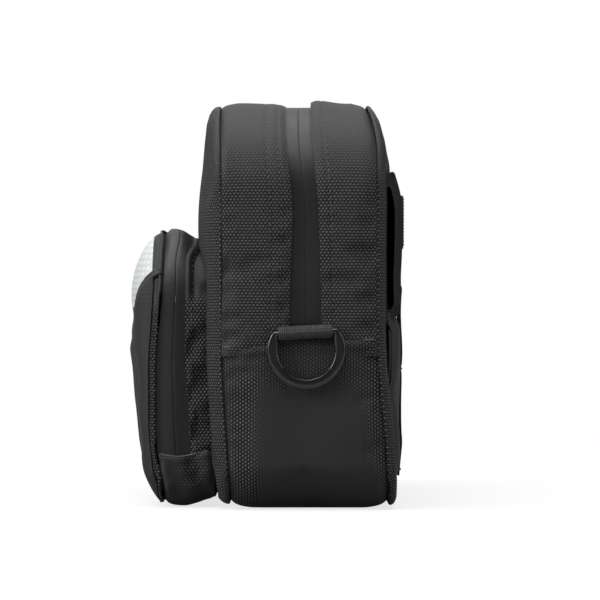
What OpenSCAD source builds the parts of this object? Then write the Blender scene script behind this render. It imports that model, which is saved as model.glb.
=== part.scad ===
// Small motorcycle tail bag: a padded main compartment with a zip over its arch, a domed
// front pocket with its own zip, a belt sleeve and webbing on the back, and two D-rings.
// X runs across the bag, -Y is the pocket side, +Z is up. Millimetres.

/* [Body] */
// Width of the main compartment, side face to side face
body_w = 240; // [210:1:280]
// Height of the main compartment's top above the floor
body_h = 192; // [180:1:220]
// Depth of the gusset between the front seam and the rear seam
gusset_d = 73; // [66:1:90]
// Radius of the two top corners, seen from the front
top_r = 44; // [36:1:50]
// Radius of the two bottom corners, seen from the front
base_r = 20; // [14:1:24]
// Height of the side seam where the upper and lower gussets meet
seam_h = 77; // [70:1:84]
// How far the front panel stands proud of the front seam
front_lip = 6; // [5:0.5:8]
// How far the back panel stands proud of the rear seam
back_lip = 4.3; // [4:0.1:6]
// Thickness of the shell fabric with its coating
shell_t = 1.6; // [1.2:0.1:2]

/* [Pocket] */
// Width of the front pocket
pocket_w = 196; // [180:1:204]
// Height of the pocket's top above the floor
pocket_h = 132; // [126:1:140]
// Height of the pocket's lowest point above the floor
pocket_lift = 1.5; // [1.2:0.1:4]
// Depth of the pocket's gusset, from the front panel to the pocket's own seam
pocket_d = 23; // [21:1:28]
// How far the pocket's front face domes beyond its seam
pocket_bulge = 16; // [12:1:20]
// Radius of the pocket's top corners
pocket_top_r = 35; // [28:1:40]
// Radius of the pocket's bottom corners
pocket_base_r = 16; // [12:1:20]
// Height of the seam where the pocket's zip and upper gusset end
pocket_seam_h = 27; // [24:1:32]

/* [Zips] */
// Coated tape that shows between the fabric edges of the main zip
zip_slot = 13; // [12:0.5:16]
// Distance of the main zip's centre line behind the front seam
zip_inset = 35; // [33:0.5:38]
// Coated tape that shows on the pocket zip
pocket_slot = 12; // [11:0.5:14]
// Length of the main zip's pull tabs with their grips
main_pull_l = 30; // [24:1:34]
// Length of the pocket zip's pull tab with its grip
pocket_pull_l = 25; // [20:1:26]

/* [D-rings] */
// Distance of the rings' middle behind the front seam
ring_inset = 38; // [34:0.5:42]
// Outer width of a D-ring
ring_w = 36.4; // [35:0.1:38]
// Outer height of a D-ring, bar to bow
ring_h = 28.4; // [27:0.1:32]
// Width of the ring's flat band
ring_band = 4.7; // [4:0.1:5]
// Thickness of the ring's band
ring_t = 3.4; // [3:0.1:3.5]
// Height of the ring's bar above the floor
ring_z = 83.3; // [82:0.1:90]
// Tilt of the ring and its tab against the level
ring_tilt = 3; // [0:0.5:4]

/* [Webbing] */
// Width of the webbing
web_w = 25.2; // [24:0.1:26]
// Thickness of the webbing
web_t = 1.3; // [1:0.1:1.5]
// Width of the strap across the base
base_web_w = 36; // [25:1:40]
// Thickness of the strap across the base
base_web_t = 1.2; // [1:0.1:1.5]
// Distance of each back strap's middle from the bag's middle
strap_x = 62; // [50:1:80]

/* [Sleeve] */
// Width of the belt sleeve on the back
sleeve_w = 208; // [180:1:212]
// Height of the sleeve's lower edge above the floor
sleeve_z0 = 90; // [88:1:92]
// Height of the sleeve's upper edge above the floor
sleeve_z1 = 159; // [150:1:160]
// Free gap between the back panel and the sleeve
sleeve_gap = 4.6; // [4.4:0.1:6]
// Thickness of the sleeve's padded panel
sleeve_t = 3; // [2.5:0.1:4]

/* [Hidden] */

// Steps in each quarter circle of an outline
steps = 7;
// Layers of the gusset, counted inwards from the outside
foam_t = 1.6;
lining_t = 0.5;
lining_in = shell_t + foam_t;
binding_in = lining_in + lining_t;
binding_t = 1.5;
binding_w = 9;
// Zip: tape, coil and the gap between the two halves that the slider's web runs in
tape_t = 1;
tape_hem = 8.5;
pocket_hem = 6;
coil_t = 1.8;
coil_w = 2.1;
zip_gap = 1;
// Flat inner sheets keep clear of the rounded rims
sheet_inset = 14;

// The whole depth, front of the pocket to the outermost webbing, is centred on the origin
badge_rise = 1.9;
total_d = badge_rise + pocket_bulge + pocket_d + front_lip + gusset_d + back_lip + sleeve_gap
    + sleeve_t + web_t;
pocket_seam_y = -total_d / 2 + badge_rise + pocket_bulge;
front_y = pocket_seam_y + pocket_d;
front_seam_y = front_y + front_lip;
rear_seam_y = front_seam_y + gusset_d;
back_y = rear_seam_y + back_lip;
sleeve_in_y = back_y + sleeve_gap;
sleeve_out_y = sleeve_in_y + sleeve_t;
zip_y = front_seam_y + zip_inset;
ring_y = front_seam_y + ring_inset;
base_z = base_web_t;
pocket_zip_y = pocket_seam_y + pocket_slot / 2;
pocket_strip_y = pocket_seam_y + pocket_slot;
// Lower back pad that bulges below the sleeve
pad_rise = 5.2;
pad_y = back_y + pad_rise;
pad_z0 = 10;
pad_z1 = sleeve_z0 - 3;
// Foam, lining and binding of the gusset stop short of the rear seam
binding_clear = 2;
inner_front_y = front_seam_y + 3;
inner_rear_y = rear_seam_y - 6.5;

// The main zip's two sliders meet on its straight top run, left of the middle
zip_meet_x = -45;
slider_l = 11;
slider_x = 6.5;
pocket_shell_t = 1.4;
zip_top_z = body_h - shell_t;
zip_side_x = pocket_w / 2 - pocket_shell_t;
pocket_slider_z = pocket_seam_h + 9;
pull_z = 2.9;

fabric = [0.13, 0.13, 0.14];
coated = [0.2, 0.2, 0.21];
webbing = [0.1, 0.1, 0.11];
plastic = [0.16, 0.16, 0.17];
padding = [0.35, 0.35, 0.37];
cloth = [0.45, 0.45, 0.47];
metal = [0.3, 0.3, 0.32];
silver = [0.72, 0.73, 0.74];

// ---------- outlines ----------

function arc(cx, cz, r, a0, a1) =
    [for (i = [0 : steps]) let (a = a0 + (a1 - a0) * i / steps) [cx + r * cos(a), cz + r * sin(a)]];

// Closed outline with its own radii at the foot and at the top, inset by d all round
function outline(w, z0, z1, rb, rt, d) =
    let (h = w / 2 - d, b = max(rb - d, 0.6), t = max(rt - d, 0.6), lo = z0 + d, hi = z1 - d)
    concat(arc(h - b, lo + b, b, -90, 0), arc(h - t, hi - t, t, 0, 90),
        arc(t - h, hi - t, t, 90, 180), arc(b - h, lo + b, b, 180, 270));

function body_outline(d) = outline(body_w, base_z, body_h, base_r, top_r, d);
function pocket_outline(d) =
    outline(pocket_w, pocket_lift, pocket_h, pocket_base_r, pocket_top_r, d);

function reversed(points) = [for (i = [len(points) - 1 : -1 : 0]) points[i]];

// Flat sheet in the XZ plane, extruded from y0 to y1
module between_y(y0, y1) {
    translate([0, y1, 0]) rotate([90, 0, 0]) linear_extrude(y1 - y0) children();
}

// Profile in the YZ plane, extruded across x0 to x1
module between_x(x0, x1) {
    translate([x0, 0, 0]) rotate([90, 0, 90]) linear_extrude(x1 - x0) children();
}

// The body's wall from inset d0 to d1
module body_ring(d0, d1) {
    difference() {
        polygon(body_outline(d0));
        polygon(body_outline(d1));
    }
}

module pocket_ring(d0, d1) {
    difference() {
        polygon(pocket_outline(d0));
        polygon(pocket_outline(d1));
    }
}

// Keeps what lies above, or below, a height
module above(z) {
    intersection() {
        children();
        translate([-body_w, z]) square([2 * body_w, body_h]);
    }
}

module below(z) {
    intersection() {
        children();
        translate([-body_w, -body_h]) square([2 * body_w, body_h + z]);
    }
}

// Closed solid through a list of rings with equally many points
module loft(rings) {
    n = len(rings[0]);
    m = len(rings);
    polyhedron(points = [for (r = rings) each r], faces = concat(
        [[for (i = [0 : n - 1]) i]],
        [for (j = [0 : m - 2], i = [0 : n - 1], side = [0, 1])
            let (a = j * n + i, b = j * n + (i + 1) % n)
            side == 0 ? [a, b + n, b] : [a, a + n, b + n]],
        [[for (i = [n - 1 : -1 : 0]) (m - 1) * n + i]]));
}

function at_y(points, y) = [for (p = points) [p[0], y, p[1]]];

// ---------- main compartment ----------

// Shallow tray with a rounded rim: depth lip from the seam plane, side is -1 forwards or 1 backwards
rim_angles = [0, 30, 60, 90];
function tray_rings(seam_y, lip, side) = concat(
    [for (a = reversed(rim_angles))
        at_y(body_outline(lip * (1 - cos(a))), seam_y + side * lip * sin(a))],
    [for (a = rim_angles)
        at_y(body_outline(shell_t + lip * (1 - cos(a))), seam_y + side * (lip - shell_t) * sin(a))]);

module front_panel() {
    color(fabric) loft(tray_rings(front_seam_y, front_lip, -1));
}

module back_panel() {
    color(fabric) loft(reversed(tray_rings(rear_seam_y, back_lip, 1)));
}

// The lower back bulges beyond the plane that the sleeve is sewn to
module back_pad() {
    reach = body_w / 2 - 14;
    slope = 7;
    color(fabric) loft([at_y(pad_outline(reach, 0), back_y), at_y(pad_outline(reach, slope), pad_y)]);
}

function pad_outline(reach, d) =
    [[d - reach, pad_z0 + d], [reach - d, pad_z0 + d], [reach - d, pad_z1 - d], [d - reach, pad_z1 - d]];

module upper_gusset_front() {
    color(fabric) between_y(front_seam_y, zip_y - zip_slot / 2) above(seam_h) body_ring(0, shell_t);
}

module upper_gusset_rear() {
    color(fabric) between_y(zip_y + zip_slot / 2, rear_seam_y) above(seam_h) body_ring(0, shell_t);
}

module lower_gusset() {
    color(fabric) between_y(front_seam_y, rear_seam_y) below(seam_h) body_ring(0, shell_t);
}

// One half of the main zip's tape; it runs on under the gusset's folded edge
module main_zip_tape(y0, y1) {
    color(coated) between_y(y0, y1) above(seam_h) body_ring(shell_t, shell_t + tape_t);
}

module main_zip_coils() {
    color(plastic) for (side = [-1, 1]) {
        edge = zip_y + side * zip_gap / 2;
        far = edge + side * coil_w;
        between_y(min(edge, far), max(edge, far)) above(seam_h)
            body_ring(shell_t + tape_t, shell_t + tape_t + coil_t);
    }
}

// Flat sheet parallel to the panels, inside the compartment
module inner_sheet(y0, y1, inset) {
    between_y(y0, y1) polygon(body_outline(inset));
}

module gusset_foam(y0, y1) {
    color(padding) between_y(y0, y1) above(seam_h) body_ring(shell_t, lining_in);
}

module lower_foam() {
    color(padding) between_y(inner_front_y, inner_rear_y) below(seam_h) body_ring(shell_t, lining_in);
}

module base_board() {
    board_w = body_w - 2 * base_r - 10;
    board_t = 2;
    margin = binding_w + 2;
    color(plastic) translate([-board_w / 2, front_seam_y + margin, base_z + binding_in])
        cube([board_w, gusset_d - 2 * margin, board_t]);
}

// The lining covers the foam and stops short of the zip's coils
module gusset_lining() {
    color(cloth) {
        between_y(inner_front_y, zip_y - zip_slot / 2 - tape_hem) body_ring(lining_in, binding_in);
        between_y(zip_y + zip_slot / 2 + tape_hem, inner_rear_y) body_ring(lining_in, binding_in);
        between_y(zip_y - zip_slot / 2 - tape_hem, zip_y + zip_slot / 2 + tape_hem)
            below(seam_h) body_ring(lining_in, binding_in);
    }
}

// Tape folded over the raw seam edges, inside
module seam_binding(y0) {
    color(webbing) between_y(y0, y0 + binding_w) body_ring(binding_in, binding_in + binding_t);
}

// ---------- front pocket ----------

// The pocket's face rises steeply at its seam and flattens towards the middle
dome_reach = 58;
dome_power = 0.28;
function dome(d) = pocket_bulge * pow(min(max(d, 0), dome_reach) / dome_reach, dome_power);

// Distance of a point of the face from the pocket's outline
function corner_d(x, z, r, cz) = r - norm([abs(x) - (pocket_w / 2 - r), z - cz]);
function face_d(x, z) =
    let (side = pocket_w / 2 - abs(x), top = pocket_h - z, foot = z - pocket_lift,
        rt = pocket_top_r, rb = pocket_base_r)
    side < rt && top < rt ? corner_d(x, z, rt, pocket_h - rt)
    : side < rb && foot < rb ? corner_d(x, z, rb, pocket_lift + rb)
    : min(side, top, foot);

dome_insets = [0, 0.4, 1.5, 4, 9, 17, 28, 42, 56];
module pocket_front_panel() {
    color(fabric) loft(concat(
        [for (d = reversed(dome_insets)) at_y(pocket_outline(d), pocket_seam_y - dome(d))],
        [for (d = dome_insets) at_y(pocket_outline(d * 0.96 + pocket_shell_t),
            pocket_seam_y - max(dome(d) - pocket_shell_t, 0))]));
}

// Thin sheet of so many rows that follows the domed face. lows and highs are heights for each x in xs;
// the rows crowd towards the foot, where the dome is steep.
module face_sheet(xs, lows, highs, rise, t, rows) {
    function spot(i, k, out) = let (z = lows[i] + (highs[i] - lows[i]) * pow(k / rows, 1.5))
        [xs[i], pocket_seam_y - dome(face_d(xs[i], z)) - rise - out, z];
    loft([for (i = [0 : len(xs) - 1]) concat([for (k = [0 : rows]) spot(i, k, 0)],
        [for (k = [rows : -1 : 0]) spot(i, k, t)])]);
}

// The slip pocket's mouth dips in the middle and meets the seam high up at both sides
mouth_low = 50;
mouth_high = 111;
face_half = pocket_w / 2 - 4;
function mouth(x) = mouth_low + (mouth_high - mouth_low) * (1 - cos(360 * x / pocket_w)) / 2;
// Height of the face's outline at x, inset by d
function face_top(x, d) = let (over = abs(x) - (pocket_w / 2 - pocket_top_r), r = pocket_top_r - d)
    over <= 0 ? pocket_h - d : pocket_h - pocket_top_r + sqrt(max(r * r - over * over, 0));
function face_foot(x, d) = let (over = abs(x) - (pocket_w / 2 - pocket_base_r), r = pocket_base_r - d)
    over <= 0 ? pocket_lift + d : pocket_lift + pocket_base_r - sqrt(max(r * r - over * over, 0));

// Gap between the domed face and the pieces laid on it
skin_rise = 1;
// Columns of the face's sheets on each side of the middle; they crowd towards the seam
columns = 14;
face_xs = [for (i = [-columns : columns])
    face_half * sign(i) * (1 - pow(1 - abs(i) / columns, 1.5))];

module pocket_slip_panel() {
    color(fabric) face_sheet(face_xs, [for (x = face_xs) face_foot(x, 5)],
        [for (x = face_xs) mouth(x)], skin_rise, 1.2, 6);
}

module pocket_slip_binding() {
    color(webbing) face_sheet(face_xs, [for (x = face_xs) mouth(x) + 0.1],
        [for (x = face_xs) mouth(x) + 3.4], skin_rise + 0.2, 1.1, 1);
}

// Film panel between the slip pocket's mouth and the pocket's top; bent one way only
module pocket_reflective_panel() {
    reach = 84;
    foot_z = 95;
    top_inset = 7;
    t = 0.7;
    rows = 5;
    xs = [for (i = [-columns : columns]) reach * i / columns];
    skin = [for (k = [0 : rows]) let (z = foot_z + (pocket_h - top_inset - foot_z) * k / rows)
        [pocket_seam_y - dome(pocket_h - z) - skin_rise, z]];
    color(silver) intersection() {
        between_x(-reach, reach) polygon(concat(skin, [for (p = reversed(skin)) [p[0] - t, p[1]]]));
        between_y(-total_d, 0) polygon(concat(
            [for (x = xs) [x, max(foot_z, mouth(x) + 4.4)]],
            [for (x = reversed(xs)) [x, face_top(x, top_inset)]]));
    }
}

// Blank moulded badge in the slip pocket's dip
module pocket_badge() {
    half = 15.5;
    foot_z = 76;
    tall = 15;
    lean = 4;
    r = 3;
    color(plastic) translate([0, pocket_seam_y - dome(face_d(0, foot_z)) - skin_rise, foot_z])
        rotate([-lean, 0, 0]) between_y(skin_rise - badge_rise, 0)
            polygon(concat(arc(half - r, r, r, -90, 0), arc(half - r, tall - r, r, 0, 90),
                arc(r - half, tall - r, r, 90, 180), arc(r - half, r, r, 180, 270)));
}

// Foam that keeps the face domed: one flat sheet stands in for the curved one
module pocket_foam() {
    foam_inset = 9;
    color(padding) between_y(pocket_seam_y - 4, pocket_seam_y - 1.5)
        polygon(pocket_outline(foam_inset));
}

module pocket_upper_gusset() {
    color(fabric) between_y(pocket_strip_y, front_y) above(pocket_seam_h)
        pocket_ring(0, pocket_shell_t);
}

module pocket_lower_gusset() {
    color(fabric) between_y(pocket_seam_y, front_y) below(pocket_seam_h)
        pocket_ring(0, pocket_shell_t);
}

module pocket_zip_tape(y0, y1) {
    color(coated) between_y(y0, y1) above(pocket_seam_h)
        pocket_ring(pocket_shell_t, pocket_shell_t + tape_t);
}

module pocket_zip_coils() {
    color(plastic) for (side = [-1, 1]) {
        edge = pocket_zip_y + side * zip_gap / 2;
        far = edge + side * coil_w;
        between_y(min(edge, far), max(edge, far)) above(pocket_seam_h)
            pocket_ring(pocket_shell_t + tape_t, pocket_shell_t + tape_t + coil_t);
    }
}

// ---------- back and base webbing ----------

module back_sleeve() {
    hem = 3;
    turn = 4;
    color(fabric) between_x(-sleeve_w / 2, sleeve_w / 2) difference() {
        polygon([[back_y, sleeve_z0], [sleeve_in_y, sleeve_z0], [sleeve_out_y, sleeve_z0 + turn],
            [sleeve_out_y, sleeve_z1 - turn], [sleeve_in_y, sleeve_z1], [back_y, sleeve_z1]]);
        translate([back_y - 1, sleeve_z0 + hem])
            square([sleeve_gap + 1, sleeve_z1 - sleeve_z0 - 2 * hem]);
    }
}

// Level webbing row on the sleeve
module sleeve_webbing() {
    row_w = 184;
    row_z = 123;
    color(webbing) translate([-row_w / 2, sleeve_out_y, row_z]) cube([row_w, web_t, web_w]);
}

// Upright strap: sewn to the sleeve above, then down over the lower back
module back_strap(x) {
    top_z = 106.5;
    foot_z = 14;
    knee = sleeve_z0 + 4;
    inner = [[sleeve_out_y, top_z], [sleeve_out_y, knee], [pad_y + 0.3, pad_z1 - 6],
        [pad_y + 0.3, foot_z]];
    color(webbing) between_x(x - web_w / 2, x + web_w / 2)
        polygon(concat(inner, [for (p = reversed(inner)) [p[0] + web_t, p[1]]]));
}

module base_strap() {
    strap_l = 180;
    strap_inset = 21;
    color(webbing) translate([-strap_l / 2, front_seam_y + strap_inset, 0])
        cube([strap_l, base_web_w, base_web_t]);
}

// ---------- D-rings ----------

bar_r = 1.8;
bore_r = bar_r + 0.3;
tab_r = bore_r + 1.2;
ring_x = body_w / 2 + tab_r + 0.1;

// Puts a part made at the bar's middle on the right side of the bag, or mirrored on the left
module at_ring(side) {
    mirror([side < 0 ? 1 : 0, 0, 0])
        translate([ring_x, ring_y, ring_z]) rotate([ring_tilt, 0, 0]) children();
}

// Webbing looped round the bar, both plies ending in the side seam
module ring_tab(side) {
    drop = ring_z - seam_h + 0.5;
    left = -tab_r - 0.1;
    plies = 2.6;
    color(webbing) at_ring(side) between_y(-web_w / 2, web_w / 2) difference() {
        polygon(concat(arc(0, 0, tab_r, 0, 90), arc(0, 0, tab_r, 90, 180),
            [[left, -tab_r], [left, -drop], [left + plies, -drop]]));
        circle(r = bore_r, $fn = 48);
    }
}

// Rounded D in the YZ plane, inset by d from the ring's outer edge
function d_outline(d) =
    let (r = ring_w / 2, top = bar_r, bow_z = top - ring_h + r, corner = 9)
    concat([for (i = [0 : 16]) let (a = 180 + 180 * i / 16)
            [(r - d) * cos(a), bow_z + (r - d) * sin(a)]],
        [for (i = [0 : 6]) let (a = 90 * i / 6)
            [r - corner + (corner - d) * cos(a), top - corner + (corner - d) * sin(a)]],
        [for (i = [0 : 6]) let (a = 90 + 90 * i / 6)
            [corner - r + (corner - d) * cos(a), top - corner + (corner - d) * sin(a)]]);

module d_ring(side) {
    bar_half = 13;
    notch_z = -6;
    color(plastic) at_ring(side) {
        between_x(-ring_t / 2, ring_t / 2) difference() {
            polygon(d_outline(0));
            polygon(d_outline(ring_band));
            translate([-bar_half, notch_z]) square([2 * bar_half, 2 * abs(notch_z)]);
        }
        rotate([90, 0, 0]) cylinder(r = bar_r, h = 2 * bar_half + 0.4, center = true, $fn = 48);
    }
}

// ---------- sliders and pulls ----------

// Each is made lying on a level zip: X along the zip, Z away from the tape, origin on the tape
bridge_w = 2.4;
bridge_h = 4.6;
pin_r = 0.65;

module slider() {
    plate_w = 8;
    clear = 0.25;
    plate_t = 1.4;
    under_z = tape_t + coil_t + clear;
    nose = [[-slider_l / 2, -2.4], [-1, -plate_w / 2], [slider_l / 2, -3], [slider_l / 2, 3],
        [-1, plate_w / 2], [-slider_l / 2, 2.4]];
    color(metal) {
        translate([0, 0, clear]) linear_extrude(plate_t) polygon(nose);
        translate([0, 0, -under_z - 1.1]) linear_extrude(1.1) polygon(nose);
        translate([-3, -0.25, -under_z - 0.5]) cube([6, 0.5, under_z + 0.5 + clear + 0.5]);
        between_y(-bridge_w / 2, bridge_w / 2) difference() {
            polygon([[-3.6, clear + 1], [-2.6, bridge_h], [2.6, bridge_h], [3.6, clear + 1]]);
            polygon([[-2.3, clear + plate_t], [-1.9, bridge_h - 0.8], [1.9, bridge_h - 0.8],
                [2.3, clear + plate_t]]);
        }
    }
}

arm_l = 7;
pull_w = 6.4;
pull_t = 1.3;
eye_r = 1.1;
module pull() {
    plate_l = 6;
    color(metal) translate([0, 0, pull_z]) {
        rotate([90, 0, 0]) cylinder(r = pin_r, h = pull_w, center = true, $fn = 32);
        for (side = [-1, 1])
            translate([0, side * (pull_w / 2 - 0.75) - 0.75, -pull_t / 2]) cube([arm_l, 1.5, pull_t]);
        translate([arm_l - 1.5, -pull_w / 2, -pull_t / 2]) difference() {
            cube([plate_l, pull_w, pull_t]);
            translate([plate_l - 2.2, pull_w / 2, -1]) cylinder(r = eye_r, h = pull_t + 2, $fn = 32);
        }
    }
}

// Moulded grip that is clipped through the pull's eye
module grip(l) {
    grip_w = 6;
    grip_t = 2.2;
    start = arm_l + 4.8;
    tip = 2;
    color(plastic) translate([0, 0, pull_z]) {
        translate([0, 0, -grip_t / 2]) linear_extrude(grip_t) polygon([[start, -2.2],
            [start + 3, -grip_w / 2], [l - tip, -grip_w / 2], [l, 1 - grip_w / 2],
            [l, grip_w / 2 - 1], [l - tip, grip_w / 2], [start + 3, grip_w / 2], [start, 2.2]]);
    }
}

module on_main_zip(side) {
    translate([zip_meet_x, zip_y, zip_top_z]) mirror([side < 0 ? 1 : 0, 0, 0])
        translate([slider_x, 0, 0]) children();
}

// On the pocket's left side, with the pull hanging down
module on_pocket_zip() {
    translate([-zip_side_x, pocket_zip_y, pocket_slider_z]) rotate([0, 0, 180]) rotate([0, 90, 0])
        children();
}

// ---------- nodes ----------

main_slot_front = zip_y - zip_slot / 2;
main_slot_rear = zip_y + zip_slot / 2;

front_panel();
back_panel();
back_pad();
upper_gusset_front();
upper_gusset_rear();
lower_gusset();
main_zip_tape(main_slot_front - tape_hem, zip_y - zip_gap / 2);  // main_zip_tape_front
main_zip_tape(zip_y + zip_gap / 2, main_slot_rear + tape_hem);  // main_zip_tape_rear
main_zip_coils();
color(padding) inner_sheet(front_y + shell_t + 0.1, front_seam_y - 0.6, sheet_inset);  // front_foam
color(padding) inner_sheet(rear_seam_y - 2.8, rear_seam_y + 1.2, sheet_inset);  // back_foam
gusset_foam(inner_front_y, main_slot_front - tape_hem);  // upper_foam_front
gusset_foam(main_slot_rear + tape_hem, inner_rear_y);  // upper_foam_rear
lower_foam();
color(plastic) inner_sheet(rear_seam_y + 1.2, rear_seam_y + 2.6, sheet_inset);  // back_board
base_board();
color(cloth) inner_sheet(front_seam_y - 0.6, front_seam_y - 0.1, sheet_inset);  // front_lining
color(cloth) inner_sheet(rear_seam_y - 3.3, rear_seam_y - 2.8, sheet_inset);  // back_lining
gusset_lining();
seam_binding(front_seam_y);  // front_seam_binding
seam_binding(rear_seam_y - binding_clear - binding_w);  // rear_seam_binding
pocket_front_panel();
pocket_reflective_panel();
pocket_slip_panel();
pocket_slip_binding();
pocket_badge();
pocket_foam();
pocket_upper_gusset();
pocket_lower_gusset();
pocket_zip_tape(pocket_seam_y, pocket_zip_y - zip_gap / 2);  // pocket_zip_tape_front
pocket_zip_tape(pocket_zip_y + zip_gap / 2, pocket_strip_y + pocket_hem);  // pocket_zip_tape_rear
pocket_zip_coils();
back_sleeve();
sleeve_webbing();
back_strap(strap_x);  // back_strap_right
back_strap(-strap_x);  // back_strap_left
base_strap();
ring_tab(1);  // ring_tab_right
ring_tab(-1);  // ring_tab_left
d_ring(1);  // d_ring_right
d_ring(-1);  // d_ring_left
on_main_zip(1) slider();  // main_slider_right
on_main_zip(-1) slider();  // main_slider_left
on_main_zip(1) pull();  // main_pull_right
on_main_zip(-1) pull();  // main_pull_left
on_main_zip(1) grip(main_pull_l);  // main_grip_right
on_main_zip(-1) grip(main_pull_l);  // main_grip_left
on_pocket_zip() slider();  // pocket_slider
on_pocket_zip() pull();  // pocket_pull
on_pocket_zip() grip(pocket_pull_l);  // pocket_grip
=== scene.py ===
import math

import bpy
import numpy as np
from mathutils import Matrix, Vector


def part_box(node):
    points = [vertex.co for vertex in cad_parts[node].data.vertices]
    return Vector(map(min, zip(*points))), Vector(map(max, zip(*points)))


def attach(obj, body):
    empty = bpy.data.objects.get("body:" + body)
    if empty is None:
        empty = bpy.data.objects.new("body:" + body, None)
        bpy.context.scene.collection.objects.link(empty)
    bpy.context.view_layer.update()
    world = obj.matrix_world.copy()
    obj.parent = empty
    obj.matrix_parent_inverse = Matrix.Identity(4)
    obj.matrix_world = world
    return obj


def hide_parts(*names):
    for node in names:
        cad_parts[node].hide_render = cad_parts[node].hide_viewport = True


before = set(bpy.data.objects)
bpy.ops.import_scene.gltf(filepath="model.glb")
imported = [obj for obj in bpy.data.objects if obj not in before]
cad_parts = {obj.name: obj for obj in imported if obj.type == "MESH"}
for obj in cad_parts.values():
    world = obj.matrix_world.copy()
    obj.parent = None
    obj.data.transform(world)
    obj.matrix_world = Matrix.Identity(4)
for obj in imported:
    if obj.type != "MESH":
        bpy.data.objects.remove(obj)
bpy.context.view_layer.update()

# Everything below is in millimetres until a mesh is made. +X is the viewer's side of the bag,
# -Y the pocket's side and +Y the back.
MM = 0.001
BAG = "bag"


def low(node):
    return np.array(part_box(node)[0]) / MM


def high(node):
    return np.array(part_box(node)[1]) / MM


# ---------- places taken from the frame ----------

HALF = high("lower_gusset")[0]
FOOT = low("lower_gusset")[2]
TOP = high("upper_gusset_front")[2]
SEAM_Z = low("upper_gusset_front")[2]
FRONT_SEAM = low("lower_gusset")[1]
REAR_SEAM = high("lower_gusset")[1]
SLOT_FRONT = high("upper_gusset_front")[1]
SLOT_REAR = low("upper_gusset_rear")[1]
SLOT_MID = (SLOT_FRONT + SLOT_REAR) / 2
FRONT_Y = low("front_panel")[1]
BACK_Y = high("back_panel")[1]
RING_LOW, RING_HIGH = low("d_ring_right"), high("d_ring_right")
RING_Y = (RING_LOW[1] + RING_HIGH[1]) / 2

POCKET_HALF = high("pocket_upper_gusset")[0]
POCKET_FOOT = low("pocket_lower_gusset")[2]
POCKET_TOP = high("pocket_upper_gusset")[2]
POCKET_SEAM = low("pocket_lower_gusset")[1]
POCKET_STRIP = low("pocket_upper_gusset")[1]
POCKET_SEAM_Z = high("pocket_lower_gusset")[2]

# ---------- sizes of this script ----------

TOP_R, FOOT_R = 44.0, 20.0                  # outer corners of the main compartment
POCKET_TOP_R, POCKET_FOOT_R = 35.0, 16.0    # and of the pocket
SHELL = 1.6                                 # main shell's cloth
POCKET_SHELL = 1.3
WEB_W, WEB_T = 25.2, 1.3
BAR_R, RING_Z, RING_TILT = 1.8, 83.3, math.radians(3)
TAB_R = 3.25                                # outer face of the tab's loop round the bar
UPPER_LAP, SEAM_LAP = 5.0, 0.8              # how far the gussets lap at the seams across the sides
FILM_LAP = 0.02                             # the two halves of a zip's film meet this far over
POCKET_LAP = 6.0                            # the pocket's zip strip runs on under its lower gusset
POCKET_TUCK = 1.5                           # the pocket's sides run on behind the body's front
TO_MIDDLE = 0.9995                          # how far a panel's rings shrink towards its middle
FLOOR_GAP = 0.03                            # nothing comes nearer to the floor
STITCH_ROWS = {-1: (4.3, 9.6), 1: (5.4,)}   # from the folded edge, before and behind the zip
MEAN_CROWN = 0.34                           # mean of weave_height over one repeat


# ---------- camera, light and floor ----------

def add_node(tree, kind, **inputs):
    """A shader node whose named inputs are set; spaces in their names are written as _."""
    node = tree.nodes.new("ShaderNode" + kind)
    for name, value in inputs.items():
        node.inputs[name.replace("_", " ")].default_value = value
    return node


def mix_shaders(tree, factor, first, second, target):
    mix = add_node(tree, "MixShader")
    for socket, place in zip((factor, first, second), mix.inputs):
        tree.links.new(socket, place)
    tree.links.new(mix.outputs["Shader"], target)


def make_camera():
    distance, span = 1.6, 0.2805
    view_y, view_z = 0.0162, 0.0985
    data = bpy.data.cameras.new("camera")
    data.sensor_width = 36
    data.lens = 36 * distance / span
    data.clip_start, data.clip_end = 0.05, 50
    camera = bpy.data.objects.new("camera", data)
    camera.location = (HALF * MM + distance, view_y, view_z)
    camera.rotation_euler = (math.radians(90), 0, math.radians(90))
    bpy.context.scene.collection.objects.link(camera)
    bpy.context.scene.camera = camera


def area_light(name, place, aim, size, watts):
    data = bpy.data.lights.new(name, "AREA")
    data.shape = "RECTANGLE"
    data.size, data.size_y = size
    data.energy = watts
    light = bpy.data.objects.new(name, data)
    light.location = place
    light.rotation_euler = (Vector(aim) - Vector(place)).to_track_quat("-Z", "Y").to_euler()
    bpy.context.scene.collection.objects.link(light)


def make_light():
    aim = (0.06, 0.0, 0.09)
    area_light("top_softbox", (0.1, -0.05, 1.15), aim, (1.3, 1.3), 15)
    area_light("back_softbox", (-1.3, 0.0, 0.9), aim, (1.8, 0.8), 4)
    area_light("left_softbox", (0.45, -1.25, 0.55), aim, (0.5, 0.8), 13)
    area_light("right_softbox", (0.45, 1.25, 0.5), aim, (0.5, 0.8), 4.5)
    area_light("key_softbox", (0.5, -0.3, 0.8), (0.1, 0, 0.12), (0.5, 0.5), 1.6)
    world = bpy.data.worlds.new("studio")
    world.use_nodes = True
    tree = world.node_tree
    base = tree.nodes["Background"]
    base.inputs["Color"].default_value = (1, 1, 1, 1)
    base.inputs["Strength"].default_value = 0.05
    seen = add_node(tree, "Background", Color=(1, 1, 1, 1), Strength=1.0)
    path = add_node(tree, "LightPath")
    mix_shaders(tree, path.outputs["Is Camera Ray"], base.outputs["Background"], seen.outputs["Background"],
                tree.nodes["World Output"].inputs["Surface"])
    scene = bpy.context.scene
    scene.world = world
    scene.view_settings.view_transform = "Standard"


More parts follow.
